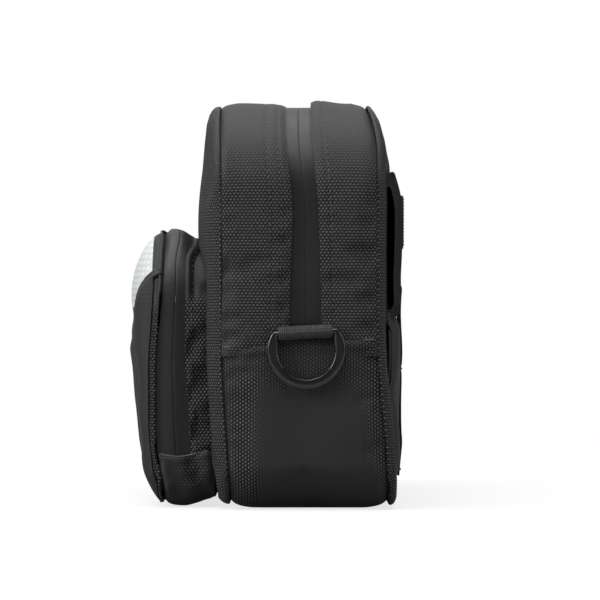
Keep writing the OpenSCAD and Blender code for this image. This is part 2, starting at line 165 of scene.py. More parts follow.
def make_floor():
    """A pale floor that is lit near the bag and fades into the white background far from it."""
    reach = 1.1
    mesh = bpy.data.meshes.new("floor")
    mesh.from_pydata([(-reach, -reach, 0), (reach, -reach, 0), (reach, reach, 0), (-reach, reach, 0)],
                     [], [(0, 1, 2, 3)])
    floor = bpy.data.objects.new("floor", mesh)
    bpy.context.scene.collection.objects.link(floor)
    mat = bpy.data.materials.new("floor")
    mat.use_nodes = True
    tree = mat.node_tree
    shader = tree.nodes["Principled BSDF"]
    shader.inputs["Base Color"].default_value = (0.25, 0.25, 0.25, 1)
    shader.inputs["Roughness"].default_value = 0.9
    shader.inputs["Specular IOR Level"].default_value = 0.1
    shader.inputs["Emission Color"].default_value = (1, 1, 1, 1)
    path = add_node(tree, "LightPath")
    glow = add_node(tree, "MapRange", To_Min=0.05, To_Max=0.75)
    tree.links.new(path.outputs["Is Camera Ray"], glow.inputs["Value"])
    tree.links.new(glow.outputs["Result"], shader.inputs["Emission Strength"])
    far = add_node(tree, "Emission")
    length = add_node(tree, "VectorMath")
    length.operation = "LENGTH"
    fade = add_node(tree, "MapRange", From_Min=0.3, From_Max=0.9)
    fade.interpolation_type = "SMOOTHSTEP"
    tree.links.new(add_node(tree, "TexCoord").outputs["Object"], length.inputs[0])
    tree.links.new(length.outputs["Value"], fade.inputs["Value"])
    mix_shaders(tree, fade.outputs["Result"], shader.outputs["BSDF"], far.outputs["Emission"],
                tree.nodes["Material Output"].inputs["Surface"])
    mesh.materials.append(mat)


make_camera()
make_light()
make_floor()


# ---------- materials ----------

class Shader:
    """A principled material with short calls for its nodes."""

    def __init__(self, name, roughness=0.6, specular=0.5, metallic=0.0, sheen=0.0, coat=0.0):
        self.material = bpy.data.materials.new(name)
        self.material.use_nodes = True
        self.tree = self.material.node_tree
        self.bsdf = self.tree.nodes["Principled BSDF"]
        for socket, value in (("Roughness", roughness), ("Specular IOR Level", specular),
                              ("Metallic", metallic), ("Sheen Weight", sheen), ("Coat Weight", coat)):
            self.bsdf.inputs[socket].default_value = value
        self.height = None

    def put(self, value, target):
        """Links a socket, or sets a number or a colour."""
        if hasattr(value, "links"):
            self.tree.links.new(value, target)
        else:
            target.default_value = (*value, 1) if isinstance(value, tuple) else value

    def math(self, operation, a, b=0.0, c=0.0):
        node = add_node(self.tree, "Math")
        node.operation = operation
        for value, target in zip((a, b, c), node.inputs):
            self.put(value, target)
        return node.outputs[0]

    def cloth_place(self):
        """Place on the cloth in millimetres, and a weight for its weave there: it sets the bump's depth and
        a painted glint that makes the crowns paler where light catches them.
        """
        node = add_node(self.tree, "Attribute")
        node.attribute_name = "cloth"
        split = add_node(self.tree, "SeparateXYZ")
        self.tree.links.new(node.outputs["Vector"], split.inputs[0])
        return tuple(split.outputs)

    def on_object(self, node):
        """Lays a texture node on the object's own coordinates, in metres."""
        self.tree.links.new(add_node(self.tree, "TexCoord").outputs["Object"], node.inputs["Vector"])
        return node.outputs["Fac"]

    def noise(self, scale, detail=2.0):
        return self.on_object(add_node(self.tree, "TexNoise", Scale=scale, Detail=detail))

    def wave(self, scale):
        return self.on_object(add_node(self.tree, "TexWave", Scale=scale))

    def ramp(self, factor, stops):
        node = add_node(self.tree, "ValToRGB")
        elements = node.color_ramp.elements
        while len(elements) < len(stops):
            elements.new(0.5)
        for element, (place, colour) in zip(elements, stops):
            element.position = place
            element.color = (*colour, 1)
        self.tree.links.new(factor, node.inputs[0])
        return node.outputs[0]

    def mix(self, factor, a, b):
        node = add_node(self.tree, "Mix")
        node.data_type = "RGBA"
        self.put(factor, node.inputs["Factor"])
        self.put(a, node.inputs["A"])
        self.put(b, node.inputs["B"])
        return node.outputs["Result"]

    def colour(self, socket):
        self.tree.links.new(socket, self.bsdf.inputs["Base Color"])

    def roughness(self, socket):
        self.tree.links.new(socket, self.bsdf.inputs["Roughness"])

    def bump(self, height, distance):
        """Adds a layer of bump; distance is in millimetres."""
        node = add_node(self.tree, "Bump", Distance=distance * MM, Strength=1.0)
        self.tree.links.new(height, node.inputs["Height"])
        if self.height:
            self.tree.links.new(self.height, node.inputs["Normal"])
        self.height = node.outputs["Normal"]
        self.tree.links.new(self.height, self.bsdf.inputs["Normal"])


def grey(value):
    return (value * 0.97, value * 1.02, value)


def weave_height(s, u, v, pitch_u, pitch_v):
    """Crowns of a coarse weave: a lattice of round floats, every other row shifted by half a pitch."""
    row = s.math("DIVIDE", v, pitch_v)
    shift = s.math("MULTIPLY", s.math("FLOORED_MODULO", s.math("FLOOR", row), 2.0), 0.5)
    column = s.math("ADD", s.math("DIVIDE", u, pitch_u), shift)
    across = s.math("SUBTRACT", s.math("FRACT", column), 0.5)
    along = s.math("SUBTRACT", s.math("FRACT", row), 0.5)
    radius = s.math("ADD", s.math("MULTIPLY", across, across), s.math("MULTIPLY", along, along))
    return s.math("MAXIMUM", s.math("MULTIPLY_ADD", radius, -4.6, 1.0), 0.0)


def woven(name, groove=0.004, crown=0.075, pitch=(1.8, 1.37), bump=0.36, turned=False):
    """Coarse ballistic weave: dark grooves, crowns painted paler as a glint in step with the weight, and a
    little dust and wear at random.
    """
    s = Shader(name, roughness=0.5, specular=0.3)
    u, v, relief_and_painted_glint = s.cloth_place()
    if turned:
        u, v = v, u
    height = weave_height(s, u, v, *pitch)
    fibre = s.math("MULTIPLY", s.math("SINE", s.math("MULTIPLY", v, 14.0)), 0.1)
    wear = s.noise(28, 3)
    # Painted glint: the crowns' lift above the mean, scaled by the weight; it drives the colour and the
    # roughness.
    crowns_and_painted_glint = s.math("MULTIPLY", s.math("SUBTRACT", height, MEAN_CROWN), relief_and_painted_glint)
    shade = s.math("ADD", crowns_and_painted_glint, s.math("MULTIPLY_ADD", wear, 0.12, MEAN_CROWN - 0.06))
    # The ramp runs from the groove's colour to the crown's and on to 2.2 times the crown's: the paler
    # crowns are a painted glint, strongest where the weight passes 1.
    s.colour(s.ramp(s.math("MULTIPLY", shade, 0.5),
                    [(0.0, grey(groove)), (0.5, grey(crown)), (1.0, grey(crown * 2.2))]))
    s.roughness(s.math("MULTIPLY_ADD", crowns_and_painted_glint, -0.2, 0.55))
    s.bump(s.noise(60, 2), 0.35)
    s.bump(s.math("MULTIPLY", s.math("ADD", height, fibre), relief_and_painted_glint), bump)
    return s.material


def ribbed(name, pitch=1.05, base=0.03, bump=0.22):
    """Webbing and grosgrain: cords side by side, each a row of small floats."""
    s = Shader(name, roughness=0.55, specular=0.4, sheen=0.15)
    u, v, _ = s.cloth_place()
    cord = s.math("ABSOLUTE", s.math("SINE", s.math("MULTIPLY", u, math.pi / pitch)))
    floats = s.math("MULTIPLY", s.math("SINE", s.math("MULTIPLY", v, 2 * math.pi / 1.6)), 0.22)
    height = s.math("ADD", cord, floats)
    s.colour(s.mix(s.math("MULTIPLY", cord, s.noise(300, 1)), grey(0.008), grey(base * 1.8)))
    s.bump(height, bump)
    return s.material


def coated_film(name):
    """Polyurethane film over the zip tape: satin, with the coil's turns faintly through it and a painted
    shade along the line where the two halves meet.
    """
    s = Shader(name, roughness=0.46, specular=0.5)
    u, v, _ = s.cloth_place()
    turns = s.math("SINE", s.math("MULTIPLY", u, 2 * math.pi / 1.25))
    near_coil = s.math("MAXIMUM", s.math("MULTIPLY_ADD", s.math("ABSOLUTE", v), -0.3, 1.0), 0.0)
    satin = s.ramp(s.noise(40, 3), [(0.3, grey(0.014)), (0.7, grey(0.02))])
    # A band 0.22 mm either side of the meeting line is painted near black: painted shade in the gap between
    # the two halves.
    groove = s.math("LESS_THAN", s.math("ABSOLUTE", v), 0.22)
    s.colour(s.mix(groove, satin, grey(0.002)))
    s.roughness(s.math("MULTIPLY_ADD", s.noise(90, 3), 0.16, 0.4))
    s.bump(s.math("MULTIPLY", turns, near_coil), 0.035)
    s.bump(s.noise(420, 2), 0.03)
    return s.material


def reflective_film(name):
    """Silver reflective cloth: fine beads under a hexagon-like embossing."""
    s = Shader(name, roughness=0.4, specular=0.6, metallic=0.15)
    u, v, _ = s.cloth_place()
    emboss = weave_height(s, u, v, 3.2, 2.8)
    s.colour(s.mix(emboss, grey(0.62), grey(0.8)))
    s.bump(emboss, 0.05)
    s.bump(s.noise(900, 1), 0.03)
    return s.material


def moulded(name, base=0.012, roughness=0.28, grain=700, depth=0.02, coat=0.0):
    """Moulded plastic or rubber with a fine grain and slightly rubbed edges."""
    s = Shader(name, roughness=roughness, specular=0.5, coat=coat)
    rub = s.noise(120, 3)
    s.colour(s.ramp(rub, [(0.35, grey(base)), (0.75, grey(base * 1.7))]))
    s.roughness(s.math("MULTIPLY_ADD", rub, 0.14, roughness - 0.05))
    s.bump(s.noise(grain, 2), depth)
    return s.material


def enamel(name):
    """Black enamel on cast zinc, worn to grey metal at random spots."""
    s = Shader(name, roughness=0.3, specular=0.6, coat=0.3)
    wear = s.noise(260, 4)
    s.colour(s.ramp(wear, [(0.62, grey(0.014)), (0.74, grey(0.11))]))
    s.bump(wear, 0.02)
    return s.material


def closed_foam(name):
    s = Shader(name, roughness=0.9, specular=0.2)
    cells = s.noise(1400, 2)
    s.colour(s.ramp(cells, [(0.3, grey(0.072)), (0.7, grey(0.12))]))
    s.bump(cells, 0.2)
    return s.material


def lining_cloth(name):
    s = Shader(name, roughness=0.8, specular=0.25, sheen=0.1)
    threads = s.wave(420)
    s.colour(s.mix(threads, grey(0.1), grey(0.15)))
    s.bump(threads, 0.06)
    return s.material


MAT = {
    "shell": woven("shell_weave"),
    "shell_turned": woven("shell_weave_turned", turned=True),
    "fold": woven("smooth_twill", groove=0.012, crown=0.03, pitch=(0.7, 0.6), bump=0.1),
    # A paler copy of the smooth twill for the cushion and the sleeve: the extra lightness is painted light
    # that brightens the sleeve's shaded tunnel and the back's grazing sheen.
    "back_cloth_painted_light": woven("back_twill_painted_light", groove=0.02, crown=0.05, pitch=(0.7, 0.6), bump=0.1),
    # Same weave as the shell but much paler: a painted highlight on the folded seam lips.
    "edge": woven("folded_edge_painted_highlight", groove=0.05, crown=0.2, pitch=(0.9, 0.9), bump=0.08),
    "film": coated_film("zip_film"),
    "webbing": ribbed("webbing_ribs"),
    "binding": ribbed("grosgrain", pitch=0.8, base=0.022, bump=0.14),
    "reflective": reflective_film("reflective_cloth"),
    "ring": moulded("ring_acetal", base=0.006, roughness=0.28, grain=900, depth=0.006, coat=0.6),
    "grip": moulded("grip_plastic", base=0.014, roughness=0.45, grain=500, depth=0.04),
    "rubber": moulded("badge_rubber", base=0.016, roughness=0.5, grain=800, depth=0.03),
    "thread": moulded("bonded_thread", base=0.03, roughness=0.45, grain=2500, depth=0.05),
    "coil": moulded("zip_coil", base=0.014, roughness=0.35),
    "metal": enamel("black_enamel"),
    "foam": closed_foam("closed_cell_foam"),
    "board": moulded("polyethylene_board", base=0.05, roughness=0.5, grain=90, depth=0.08),
    "lining": lining_cloth("lining_cloth"),
}


# ---------- outlines ----------

def smooth(t):
    t = np.clip(t, 0, 1)
    return t * t * (3 - 2 * t)


def bell(x, middle, width):
    return np.exp(-(((x - middle) / width) ** 2))


class Outline:
    """Rounded outline in the XZ plane, walked anticlockwise from the middle of its foot."""

    def __init__(self, half, foot, top, foot_r, top_r):
        self.half, self.foot, self.top = half, foot, top
        self.foot_r, self.top_r = foot_r, top_r
        rows = []

        def straight(x0, z0, x1, z1):
            length = math.hypot(x1 - x0, z1 - z0)
            for t in np.linspace(0, 1, int(length) + 2):
                rows.append((x0 + (x1 - x0) * t, z0 + (z1 - z0) * t,
                             (z1 - z0) / length, (x0 - x1) / length))

        def corner(cx, cz, r, start):
            for a in np.radians(np.linspace(start, start + 90, 48)):
                rows.append((cx + r * math.cos(a), cz + r * math.sin(a), math.cos(a), math.sin(a)))

        straight(0, foot, half - foot_r, foot)
        corner(half - foot_r, foot + foot_r, foot_r, -90)
        straight(half, foot + foot_r, half, top - top_r)
        corner(half - top_r, top - top_r, top_r, 0)
        straight(half - top_r, top, top_r - half, top)
        corner(top_r - half, top - top_r, top_r, 90)
        straight(-half, top - top_r, -half, foot + foot_r)
        corner(foot_r - half, foot + foot_r, foot_r, 180)
        straight(foot_r - half, foot, 0, foot)
        rows = np.array(rows)
        steps = np.hypot(np.diff(rows[:, 0]), np.diff(rows[:, 1]))
        keep = np.concatenate([[True], steps > 1e-6])
        self.rows, self.along = rows[keep], np.concatenate([[0], np.cumsum(steps)])[keep]
        self.length = self.along[-1]

    def normal(self, s):
        s = np.mod(s, self.length)
        nx, nz = (np.interp(s, self.along, self.rows[:, k]) for k in (2, 3))
        size = np.hypot(nx, nz)
        return nx / size, nz / size

    def at(self, s, offset=0.0):
        """x, z at distance s along the outline, moved outwards by offset."""
        nx, nz = self.normal(s)
        s = np.mod(s, self.length)
        x, z = (np.interp(s, self.along, self.rows[:, k]) for k in (0, 1))
        return x + nx * offset, z + nz * offset

    def side_s(self, z):
        """Distance along the outline of height z on the straight stretch of the +X side."""
        return self.half - self.foot_r + math.pi / 2 * self.foot_r + z - self.foot - self.foot_r

    def top_at(self, x, inset=0.0):
        """Height of the outline's upper edge at x, inset by that much."""
        over = np.maximum(np.abs(x) - self.half + self.top_r, 0)
        r = self.top_r - inset
        return self.top - self.top_r + np.sqrt(np.maximum(r * r - over * over, 0))

    def side_at(self, z, inset=0.0):
        """Half width at height z, inset by that much; the foot's corners are left out."""
        over = np.maximum(z - self.top + self.top_r, 0)
        r = self.top_r - inset
        return self.half - self.top_r + np.sqrt(np.maximum(r * r - over * over, 0))

    def foot_at(self, x, inset=0.0):
        over = np.maximum(np.abs(x) - self.half + self.foot_r, 0)
        r = self.foot_r - inset
        return self.foot + self.foot_r - np.sqrt(np.maximum(r * r - over * over, 0))

    def inside(self, x, z):
        """Distance of a point from the outline, inwards."""
        side, over, under = self.half - np.abs(x), self.top - z, z - self.foot
        plain = np.minimum(side, np.minimum(over, under))
        t, f = self.top_r, self.foot_r
        high = t - np.hypot(np.abs(x) - self.half + t, z - self.top + t)
        deep = f - np.hypot(np.abs(x) - self.half + f, z - self.foot - f)
        plain = np.where((side < t) & (over < t), high, plain)
        return np.maximum(np.where((side < f) & (under < f), deep, plain), 0)

    def pillow(self, x, z, reach):
        """From 0 at the outline to 1 at reach from it, with no ridges."""
        rise = 1.0
        for d in (self.half - np.abs(x), self.top - z, z - self.foot):
            rise = rise * (1 - (1 - np.clip(d / reach, 0, 1)) ** 2)
        return rise


BODY = Outline(HALF, FOOT, TOP, FOOT_R, TOP_R)
POCKET = Outline(POCKET_HALF, POCKET_FOOT, POCKET_TOP, POCKET_FOOT_R, POCKET_TOP_R)


def creases(a, b, size, seed, stretch=1.0):
    """A smooth random field of about -1 to 1 over two coordinates, with features of that size."""
    rng = np.random.default_rng(seed)
    waves = 16
    total = np.zeros(np.broadcast(a, b).shape)
    for _ in range(waves):
        angle, phase = rng.uniform(0, 2 * math.pi, 2)
        k = 2 * math.pi / size * rng.uniform(0.5, 1.4)
        total += np.cos(k * (a * math.cos(angle) / stretch + b * math.sin(angle)) + phase)
    return total / math.sqrt(waves)


def eased(count, power=1.8):
    """Places from 0 to 1 that crowd towards both ends."""
    t = np.linspace(-1, 1, count)
    return (1 + np.sign(t) * (1 - (1 - np.abs(t)) ** power)) / 2


# ---------- meshes ----------

def add_object(name, mesh, material, replaces=(), body=BAG, slot="shell_fabric"):
    piece = bpy.data.objects.new(name, mesh)
    bpy.context.scene.collection.objects.link(piece)
    mesh.materials.append(material)
    mesh.polygons.foreach_set("use_smooth", [True] * len(mesh.polygons))
    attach(piece, body)
    if replaces:
        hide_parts(*replaces)
    return piece


def mesh_from(name, points, faces, cloth=None):
    mesh = bpy.data.meshes.new(name)
    points = np.array(points, float)
    points[:, 2] = np.maximum(points[:, 2], FLOOR_GAP)
    mesh.from_pydata((points * MM).tolist(), [], faces)
    if cloth is not None:
        attribute = mesh.attributes.new("cloth", "FLOAT_VECTOR", "POINT")
        values = np.ones((len(points), 3), np.float32)
        values[:, :cloth.shape[1]] = cloth
        attribute.data.foreach_set("vector", values.ravel())
    return mesh


def grid_faces(rows, columns, start=0, flip=False, wrap=False):
    i, j = np.meshgrid(np.arange(rows if wrap else rows - 1), np.arange(columns - 1), indexing="ij")
    a = start + i * columns + j
    b = start + (i + 1) % rows * columns + j
    quads = np.stack([a, a + 1, b + 1, b], 2).reshape(-1, 4)
    return (quads[:, ::-1] if flip else quads).tolist()


def grid_normals(points, flip=False, wrap=False):
    if wrap:
        along = (np.roll(points, -1, 0) - np.roll(points, 1, 0)) / 2
    else:
        along = np.gradient(points, axis=0)
    normal = np.cross(np.gradient(points, axis=1), along)
    normal /= np.maximum(np.linalg.norm(normal, axis=2, keepdims=True), 1e-9)
    return -normal if flip else normal


def slab(name, points, cloth, thick, material, flip=False, wrap=False, edge=0.5, **more):
    """A closed sheet from a grid of points on its outer face, with each point's place on the cloth.
    flip turns the outer face round. wrap joins the last row to the first, and the last column is
    then closed to a disc."""
    rows, columns = points.shape[:2]
    inner = points - grid_normals(points, flip, wrap) * np.asarray(thick)[..., None]
    both = np.concatenate([points.reshape(-1, 3), inner.reshape(-1, 3)])
    count = rows * columns
    faces = grid_faces(rows, columns, 0, flip, wrap) + grid_faces(rows, columns, count, not flip, wrap)
    if wrap:
        border = [i * columns for i in range(rows - 1, -1, -1)]
        disc = [i * columns + columns - 1 for i in range(rows)]
        faces.append(disc[::-1] if flip else disc)
        faces.append([k + count for k in (disc if flip else disc[::-1])])
    else:
        border = ([j for j in range(columns)] + [i * columns + columns - 1 for i in range(1, rows)]
                  + [(rows - 1) * columns + j for j in range(columns - 2, -1, -1)]
                  + [i * columns for i in range(rows - 2, 0, -1)])
    for a, b in zip(border, border[1:] + border[:1]):
        face = [a, a + count, b + count, b]
        faces.append(face[::-1] if flip else face)
    mesh = mesh_from(name, both, faces, np.concatenate([cloth.reshape(-1, cloth.shape[-1])] * 2))
    piece = add_object(name, mesh, material, **more)
    if edge:
        soften(piece, edge)
    return piece


def soften(piece, width, segments=3, angle=50):
    """Rounds the piece's hard edges; width in millimetres."""
    bevel = piece.modifiers.new("soft_edge", "BEVEL")
    bevel.width = width * MM
    bevel.segments = segments
    bevel.limit_method = "ANGLE"
    bevel.angle_limit = math.radians(angle)


def run_of(path):
    """Distance walked along a line of places, at each of them."""
    return np.concatenate([[0], np.cumsum(np.linalg.norm(np.diff(path, axis=0), axis=1))])


def along_line(places, values, at):
    return np.stack([np.interp(at, places, values[:, c]) for c in range(values.shape[1])], 1)


def stitch_row(name, places, normals, pitch=3.2, thread=0.32):
    """Stitches along a line of places, each a short bent thread that dives at both ends."""
    along = run_of(places)
    count = int(along[-1] / pitch)
    turn = np.linspace(0, 2 * math.pi, 6, endpoint=False)
    dive = np.array([-1.3, 0.05, 0.4, 0.05, -1.3]) * thread
    girth = np.array([0.5, 0.9, 1.0, 0.9, 0.5]) * thread
    rings, sides = len(dive), len(turn)
    points, faces = [], []
    for k in range(count):
        s = along[-1] / count * (k + 0.12 + 0.76 * np.linspace(0, 1, rings))
        centre, normal = along_line(along, places, s), along_line(along, normals, s)
        side = np.cross(np.gradient(centre, axis=0), normal)
        side /= np.maximum(np.linalg.norm(side, axis=1, keepdims=True), 1e-9)
        base = len(points) * rings * sides
        rise = dive[:, None] + np.outer(girth, np.sin(turn)) * 0.8
        ring = (centre[:, None] + normal[:, None] * rise[..., None]
                + side[:, None] * np.outer(girth, np.cos(turn))[..., None])
        points.append(ring.reshape(-1, 3))
        for r in range(rings - 1):
            for q in range(sides):
                a, b = base + r * sides + q, base + r * sides + (q + 1) % sides
                faces.append((a, b, b + sides, a + sides))
        faces.append(tuple(base + q for q in range(sides))[::-1])
        faces.append(tuple(base + (rings - 1) * sides + q for q in range(sides)))
    add_object(name, mesh_from(name, np.concatenate(points), faces), MAT["thread"], slot="binding")


def stitch_across(name, line, **more):
    """Stitches on a face that looks straight back."""
    stitch_row(name, line, np.tile([0.0, 1.0, 0.0], (len(line), 1)), **more)


# ---------- cloth that is let settle ----------

def settle(points, held, flip, growth, push, cap, frames=22):
    """Lets a sheet that is held at some points puff and crease as cloth; returns how it moved."""
    scene = bpy.context.scene
    rows, columns = points.shape[:2]
    unit = 0.01
    mesh = bpy.data.meshes.new("settling")
    mesh.from_pydata((points.reshape(-1, 3) * unit).tolist(), [], grid_faces(rows, columns, 0, flip))
    sheet = bpy.data.objects.new("settling", mesh)
    scene.collection.objects.link(sheet)
    group = sheet.vertex_groups.new(name="held")
    group.add([int(k) for k in np.flatnonzero(held.ravel())], 1.0, "REPLACE")
    cloth = sheet.modifiers.new("Cloth", "CLOTH")
    settings = cloth.settings
    settings.quality = 6
    settings.mass = 0.25
    settings.tension_stiffness = settings.compression_stiffness = 16
    settings.shear_stiffness = 10
    settings.bending_stiffness = 1.0
    settings.air_damping = 4
    settings.vertex_group_mass = "held"
    settings.use_pressure = True
    settings.uniform_pressure_force = push
    settings.shrink_min = -growth
    settings.effector_weights.gravity = 0
    cloth.point_cache.frame_start, cloth.point_cache.frame_end = 1, frames
    for number in range(1, frames + 1):
        scene.frame_set(number)
    settled = sheet.evaluated_get(bpy.context.evaluated_depsgraph_get())
    co = np.zeros(rows * columns * 3, np.float32)
    settled.data.vertices.foreach_get("co", co)
    bpy.data.objects.remove(sheet)
    scene.frame_set(1)
    move = co.reshape(rows, columns, 3) / unit - points
    size = np.linalg.norm(move, axis=2, keepdims=True)
    return move * np.minimum(1, cap / np.maximum(size, 1e-9))


def spline(values, at):
    """Values on an even row of places from 0 to 1, read smoothly at other places."""
    place = np.clip(at, 0, 1) * (len(values) - 1)
    k = np.clip(place.astype(int), 0, len(values) - 2)
    t = (place - k).reshape(-1, *[1] * (values.ndim - 1))
    before, after = values[np.maximum(k - 1, 0)], values[np.minimum(k + 2, len(values) - 1)]
    a, b = values[k], values[k + 1]
    return a + 0.5 * t * (b - before + t * (2 * before - 5 * a + 4 * b - after
                                            + t * (3 * (a - b) + after - before)))


def soft_sheet(surface, rows, columns, coarse, growth, push, cap, flip=False, calm=1.0):
    """Points and cloth places of surface(a, b) on a grid, after the cloth has settled. a and b run
    from 0 to 1; the sheet is held all round. Past b = calm it keeps its cut shape."""
    points, cloth = surface(rows[:, None], columns[None, :])
    a, b = np.linspace(0, 1, coarse[0]), np.linspace(0, 1, coarse[1])
    base = surface(a[:, None], b[None, :])[0]
    held = np.zeros(coarse, bool)
    held[:, [0, -1]] = held[[0, -1], :] = True
    move = settle(base, held, flip, growth, push, cap)
    if calm < 1:
        move = move * (1 - smooth((b - calm) / (0.9 - calm)))[None, :, None]
    points = points + np.swapaxes(spline(np.swapaxes(spline(move, rows), 0, 1), columns), 0, 1)
    return points, cloth


def stack(*coordinates):
    return np.stack(np.broadcast_arrays(*coordinates), -1).astype(float)


# ---------- main compartment: gusset ----------

def front_seam(z):
    return FRONT_SEAM - 0.9 + 3.6 * smooth((75 - z) / 75) - smooth((z - 150) / 40)


def rear_seam(z):
    return REAR_SEAM - 1.1 + 5.6 * smooth((88 - z) / 88) - 4.9 * (np.maximum(z - 166, 0) / 26) ** 2


def slot_mid(z):
    """The zip's middle line: straight over the top and drifting back towards the rings below."""
    return SLOT_MID + (RING_Y - SLOT_MID) * smooth((TOP - 8 - z) / 48)


def slot_half(z):
    """Half the width of zip film that shows; it opens a little towards the rings."""
    return (SLOT_REAR - SLOT_FRONT) / 2 - 0.5 + 1.4 * smooth((150 - z) / 60)


def seam_drop(nz, d):
    """How far the gusset turns in at distance d from a seam; further over the top and the foot."""
    return (1.3 + 1.0 * np.maximum(nz, 0) ** 2 + 2.3 * np.maximum(-nz, 0) ** 2) * np.exp(-d / 2.4)


SIDE_S = BODY.side_s(SEAM_Z)


def cross_lift(y):
    """How far the seam across the side stands above its mean height; it climbs towards the back."""
    return -1.3 + 3.4 * smooth((y + 10) / 30)


def upper_surface(side, inset=0.0):
    """Strip of the upper gusset; side is -1 in front of the zip and 1 behind it."""
    start = SIDE_S - UPPER_LAP
    side_drop = 1.0 if side < 0 else -1.0

    def surface(a, b):
        s = start + (BODY.length - 2 * start) * a
        z = BODY.at(s)[1]
        nz = BODY.normal(s)[1]
        seam = front_seam(z) if side < 0 else rear_seam(z)
        edge = slot_mid(z) + side * slot_half(z)
        y = seam + (edge - seam) * b
        span = np.abs(edge - seam)
        from_seam, from_edge = b * span, (1 - b) * span
        off = 0.35 - seam_drop(nz, from_seam) - side_drop * nz**2 * smooth((from_seam - 10) / 14)
        for row in STITCH_ROWS[side]:
            off = off - 0.3 * bell(from_edge, row, 0.8)
        off = off + 0.5 * creases(s, y, 40, 3 + side, 2.4) * smooth(from_seam / 6) * smooth(from_edge / 7)
        off = off - 0.9 * bell(z, 112, 17) * bell(from_seam, 3.5, 5) * (side < 0)
        x, z = BODY.at(s + 0 * b, off - inset)
        # Weight of the bump and of the painted glint on the crowns: it fades towards the top. By the front
        # seam below z 130 it is cut back, so the crowns there lose their painted glint as painted shade.
        relief_and_painted_glint = 0.2 + 1.1 * smooth((172 - z) / 30)
        relief_and_painted_glint = relief_and_painted_glint * (1 - 0.75 * (side < 0) * bell(from_seam, 1, 6) * smooth((130 - z) / 14))
        return stack(x, y, z), stack(y - seam, s, relief_and_painted_glint)
    return surface


def upper_strip(name, side, node, foam_node):
    surface = upper_surface(side)
    points, cloth = soft_sheet(surface, np.linspace(0, 1, 340), eased(44, 1.6), (100, 13),
                               growth=0.014, push=1.2, cap=1.2, flip=side > 0)
    slab(name, points, cloth, SHELL * 0.9, MAT["shell"], flip=side > 0, edge=0.65, replaces=[node])
    foam, cloth = upper_surface(side, 1.7)(np.linspace(0, 1, 160)[:, None],
                                           np.linspace(0.06, 0.7, 12)[None])
    slab(name + "_foam", foam, cloth, 1.4, MAT["foam"], flip=side > 0, edge=0, replaces=[foam_node],
         slot="foam")
    for number, from_edge in enumerate(STITCH_ROWS[side]):
        column = np.argmin(np.abs(np.abs(points[170, :, 1] - points[170, -1, 1]) - from_edge))
        stitch_row(f"{name}_stitching_{number + 1}", points[4:-4, column],
                   grid_normals(points, side > 0)[4:-4, column])


upper_strip("gusset_front_strip", -1, "upper_gusset_front", "upper_foam_front")
upper_strip("gusset_rear_strip", 1, "upper_gusset_rear", "upper_foam_rear")


def lower_surface(inset=0.0):
    """The lower gusset, one piece from cross seam to cross seam under the bag."""
    def surface(a, b):
        s = (SIDE_S + SEAM_LAP) * (2 * a - 1)
        z = BODY.at(s)[1]
        side = 1 - BODY.normal(s)[1] ** 2
        front, rear = front_seam(z), rear_seam(z)
        y = front + (rear - front) * b
        s = s + np.sign(a - 0.5) * cross_lift(y) * smooth((z - SEAM_Z + 24) / 24)
        z = BODY.at(s)[1]
        nz = BODY.normal(s)[1]
        d_front, d_rear = np.maximum(y - front, 0), np.maximum(rear - y, 0)
        ridge = 1.1 + 0.9 * smooth((54 - z) / 22)
        width = 10 + 4 * bell(z, 50, 16)
        ramp = np.tanh((d_front / width) ** 1.5) * np.tanh((d_rear / 5.5) ** 1.3)
        off = -seam_drop(nz, np.minimum(d_front, d_rear)) * (1 - 0.5 * side)
        off = off + side * (ridge + 1.0) * ramp - side * 1.0
        off = off - 0.8 * side * bell(y, 22, 20) * smooth((60 - z) / 30)
        off = off + 0.45 * creases(y, s, 46, 11, 0.8) * side * ramp
        off = off + 0.7 * smooth((np.abs(s) - SIDE_S - cross_lift(y) + 5) / 4)
        x, z = BODY.at(s, off - inset)
        # Painted glint: the crowns are painted paler on the facet behind the front seam and near the rear
        # seam, where the side lights catch them; the flat middle low down keeps almost none.
        glint = 2.0 * bell(d_front, 8 + 3 * smooth((z - 40) / 20), 5) * smooth((66 - z) / 8)
        glint = glint + 1.6 * np.exp(-((d_rear / 6) ** 2)) * smooth((z - 4) / 30)
        relief_and_painted_glint = 0.12 + glint + 0.5 * smooth((z - 50) / 14)
        return stack(x, y, z), stack(y, s, np.minimum(relief_and_painted_glint, 2.1))
    return surface


def lower_gusset():
    points, cloth = soft_sheet(lower_surface(), eased(300, 1.25), eased(84, 1.5), (120, 22),
                               growth=0.008, push=0.6, cap=0.9)
    slab("gusset_lower", points, cloth, SHELL, MAT["shell_turned"], edge=0.7, replaces=["lower_gusset"])
    foam, cloth = lower_surface(1.8)(np.linspace(0.01, 0.99, 150)[:, None],
                                     np.linspace(0.06, 0.94, 20)[None])
    slab("gusset_lower_foam", foam, cloth, 1.3, MAT["foam"], edge=0, replaces=["lower_foam"], slot="foam")


lower_gusset()


# ---------- main compartment: zip ----------

def zip_film(name, outline, lap, inner_y, outer_y, sink, node, crown):
    """Half of the zip's coated tape, from the meeting line out under the gusset's folded edge. lap
    is how far down the side it starts; sink and crown say how deep it lies."""
    s = np.linspace(lap, outline.length - lap, 330)[:, None]
    t = np.linspace(0, 1, 20)[None]
    z = outline.at(s)[1]
    inner, outer = inner_y(z), outer_y(z)
    y = inner + (outer - inner) * t
    d = np.abs(y - inner)
    off = -sink - 0.12 * np.exp(-d / 0.3) + 0.06 * creases(s, y, 26, 5, 3)
    x, z = outline.at(s + 0 * t, off + crown(outline.normal(s)[1], y))
    slab(name, stack(x, y, z), stack(s, y - inner), 0.6, MAT["film"], flip=bool(np.mean(outer - inner) < 0),
         edge=0.15, replaces=[node], slot="coated_tape")


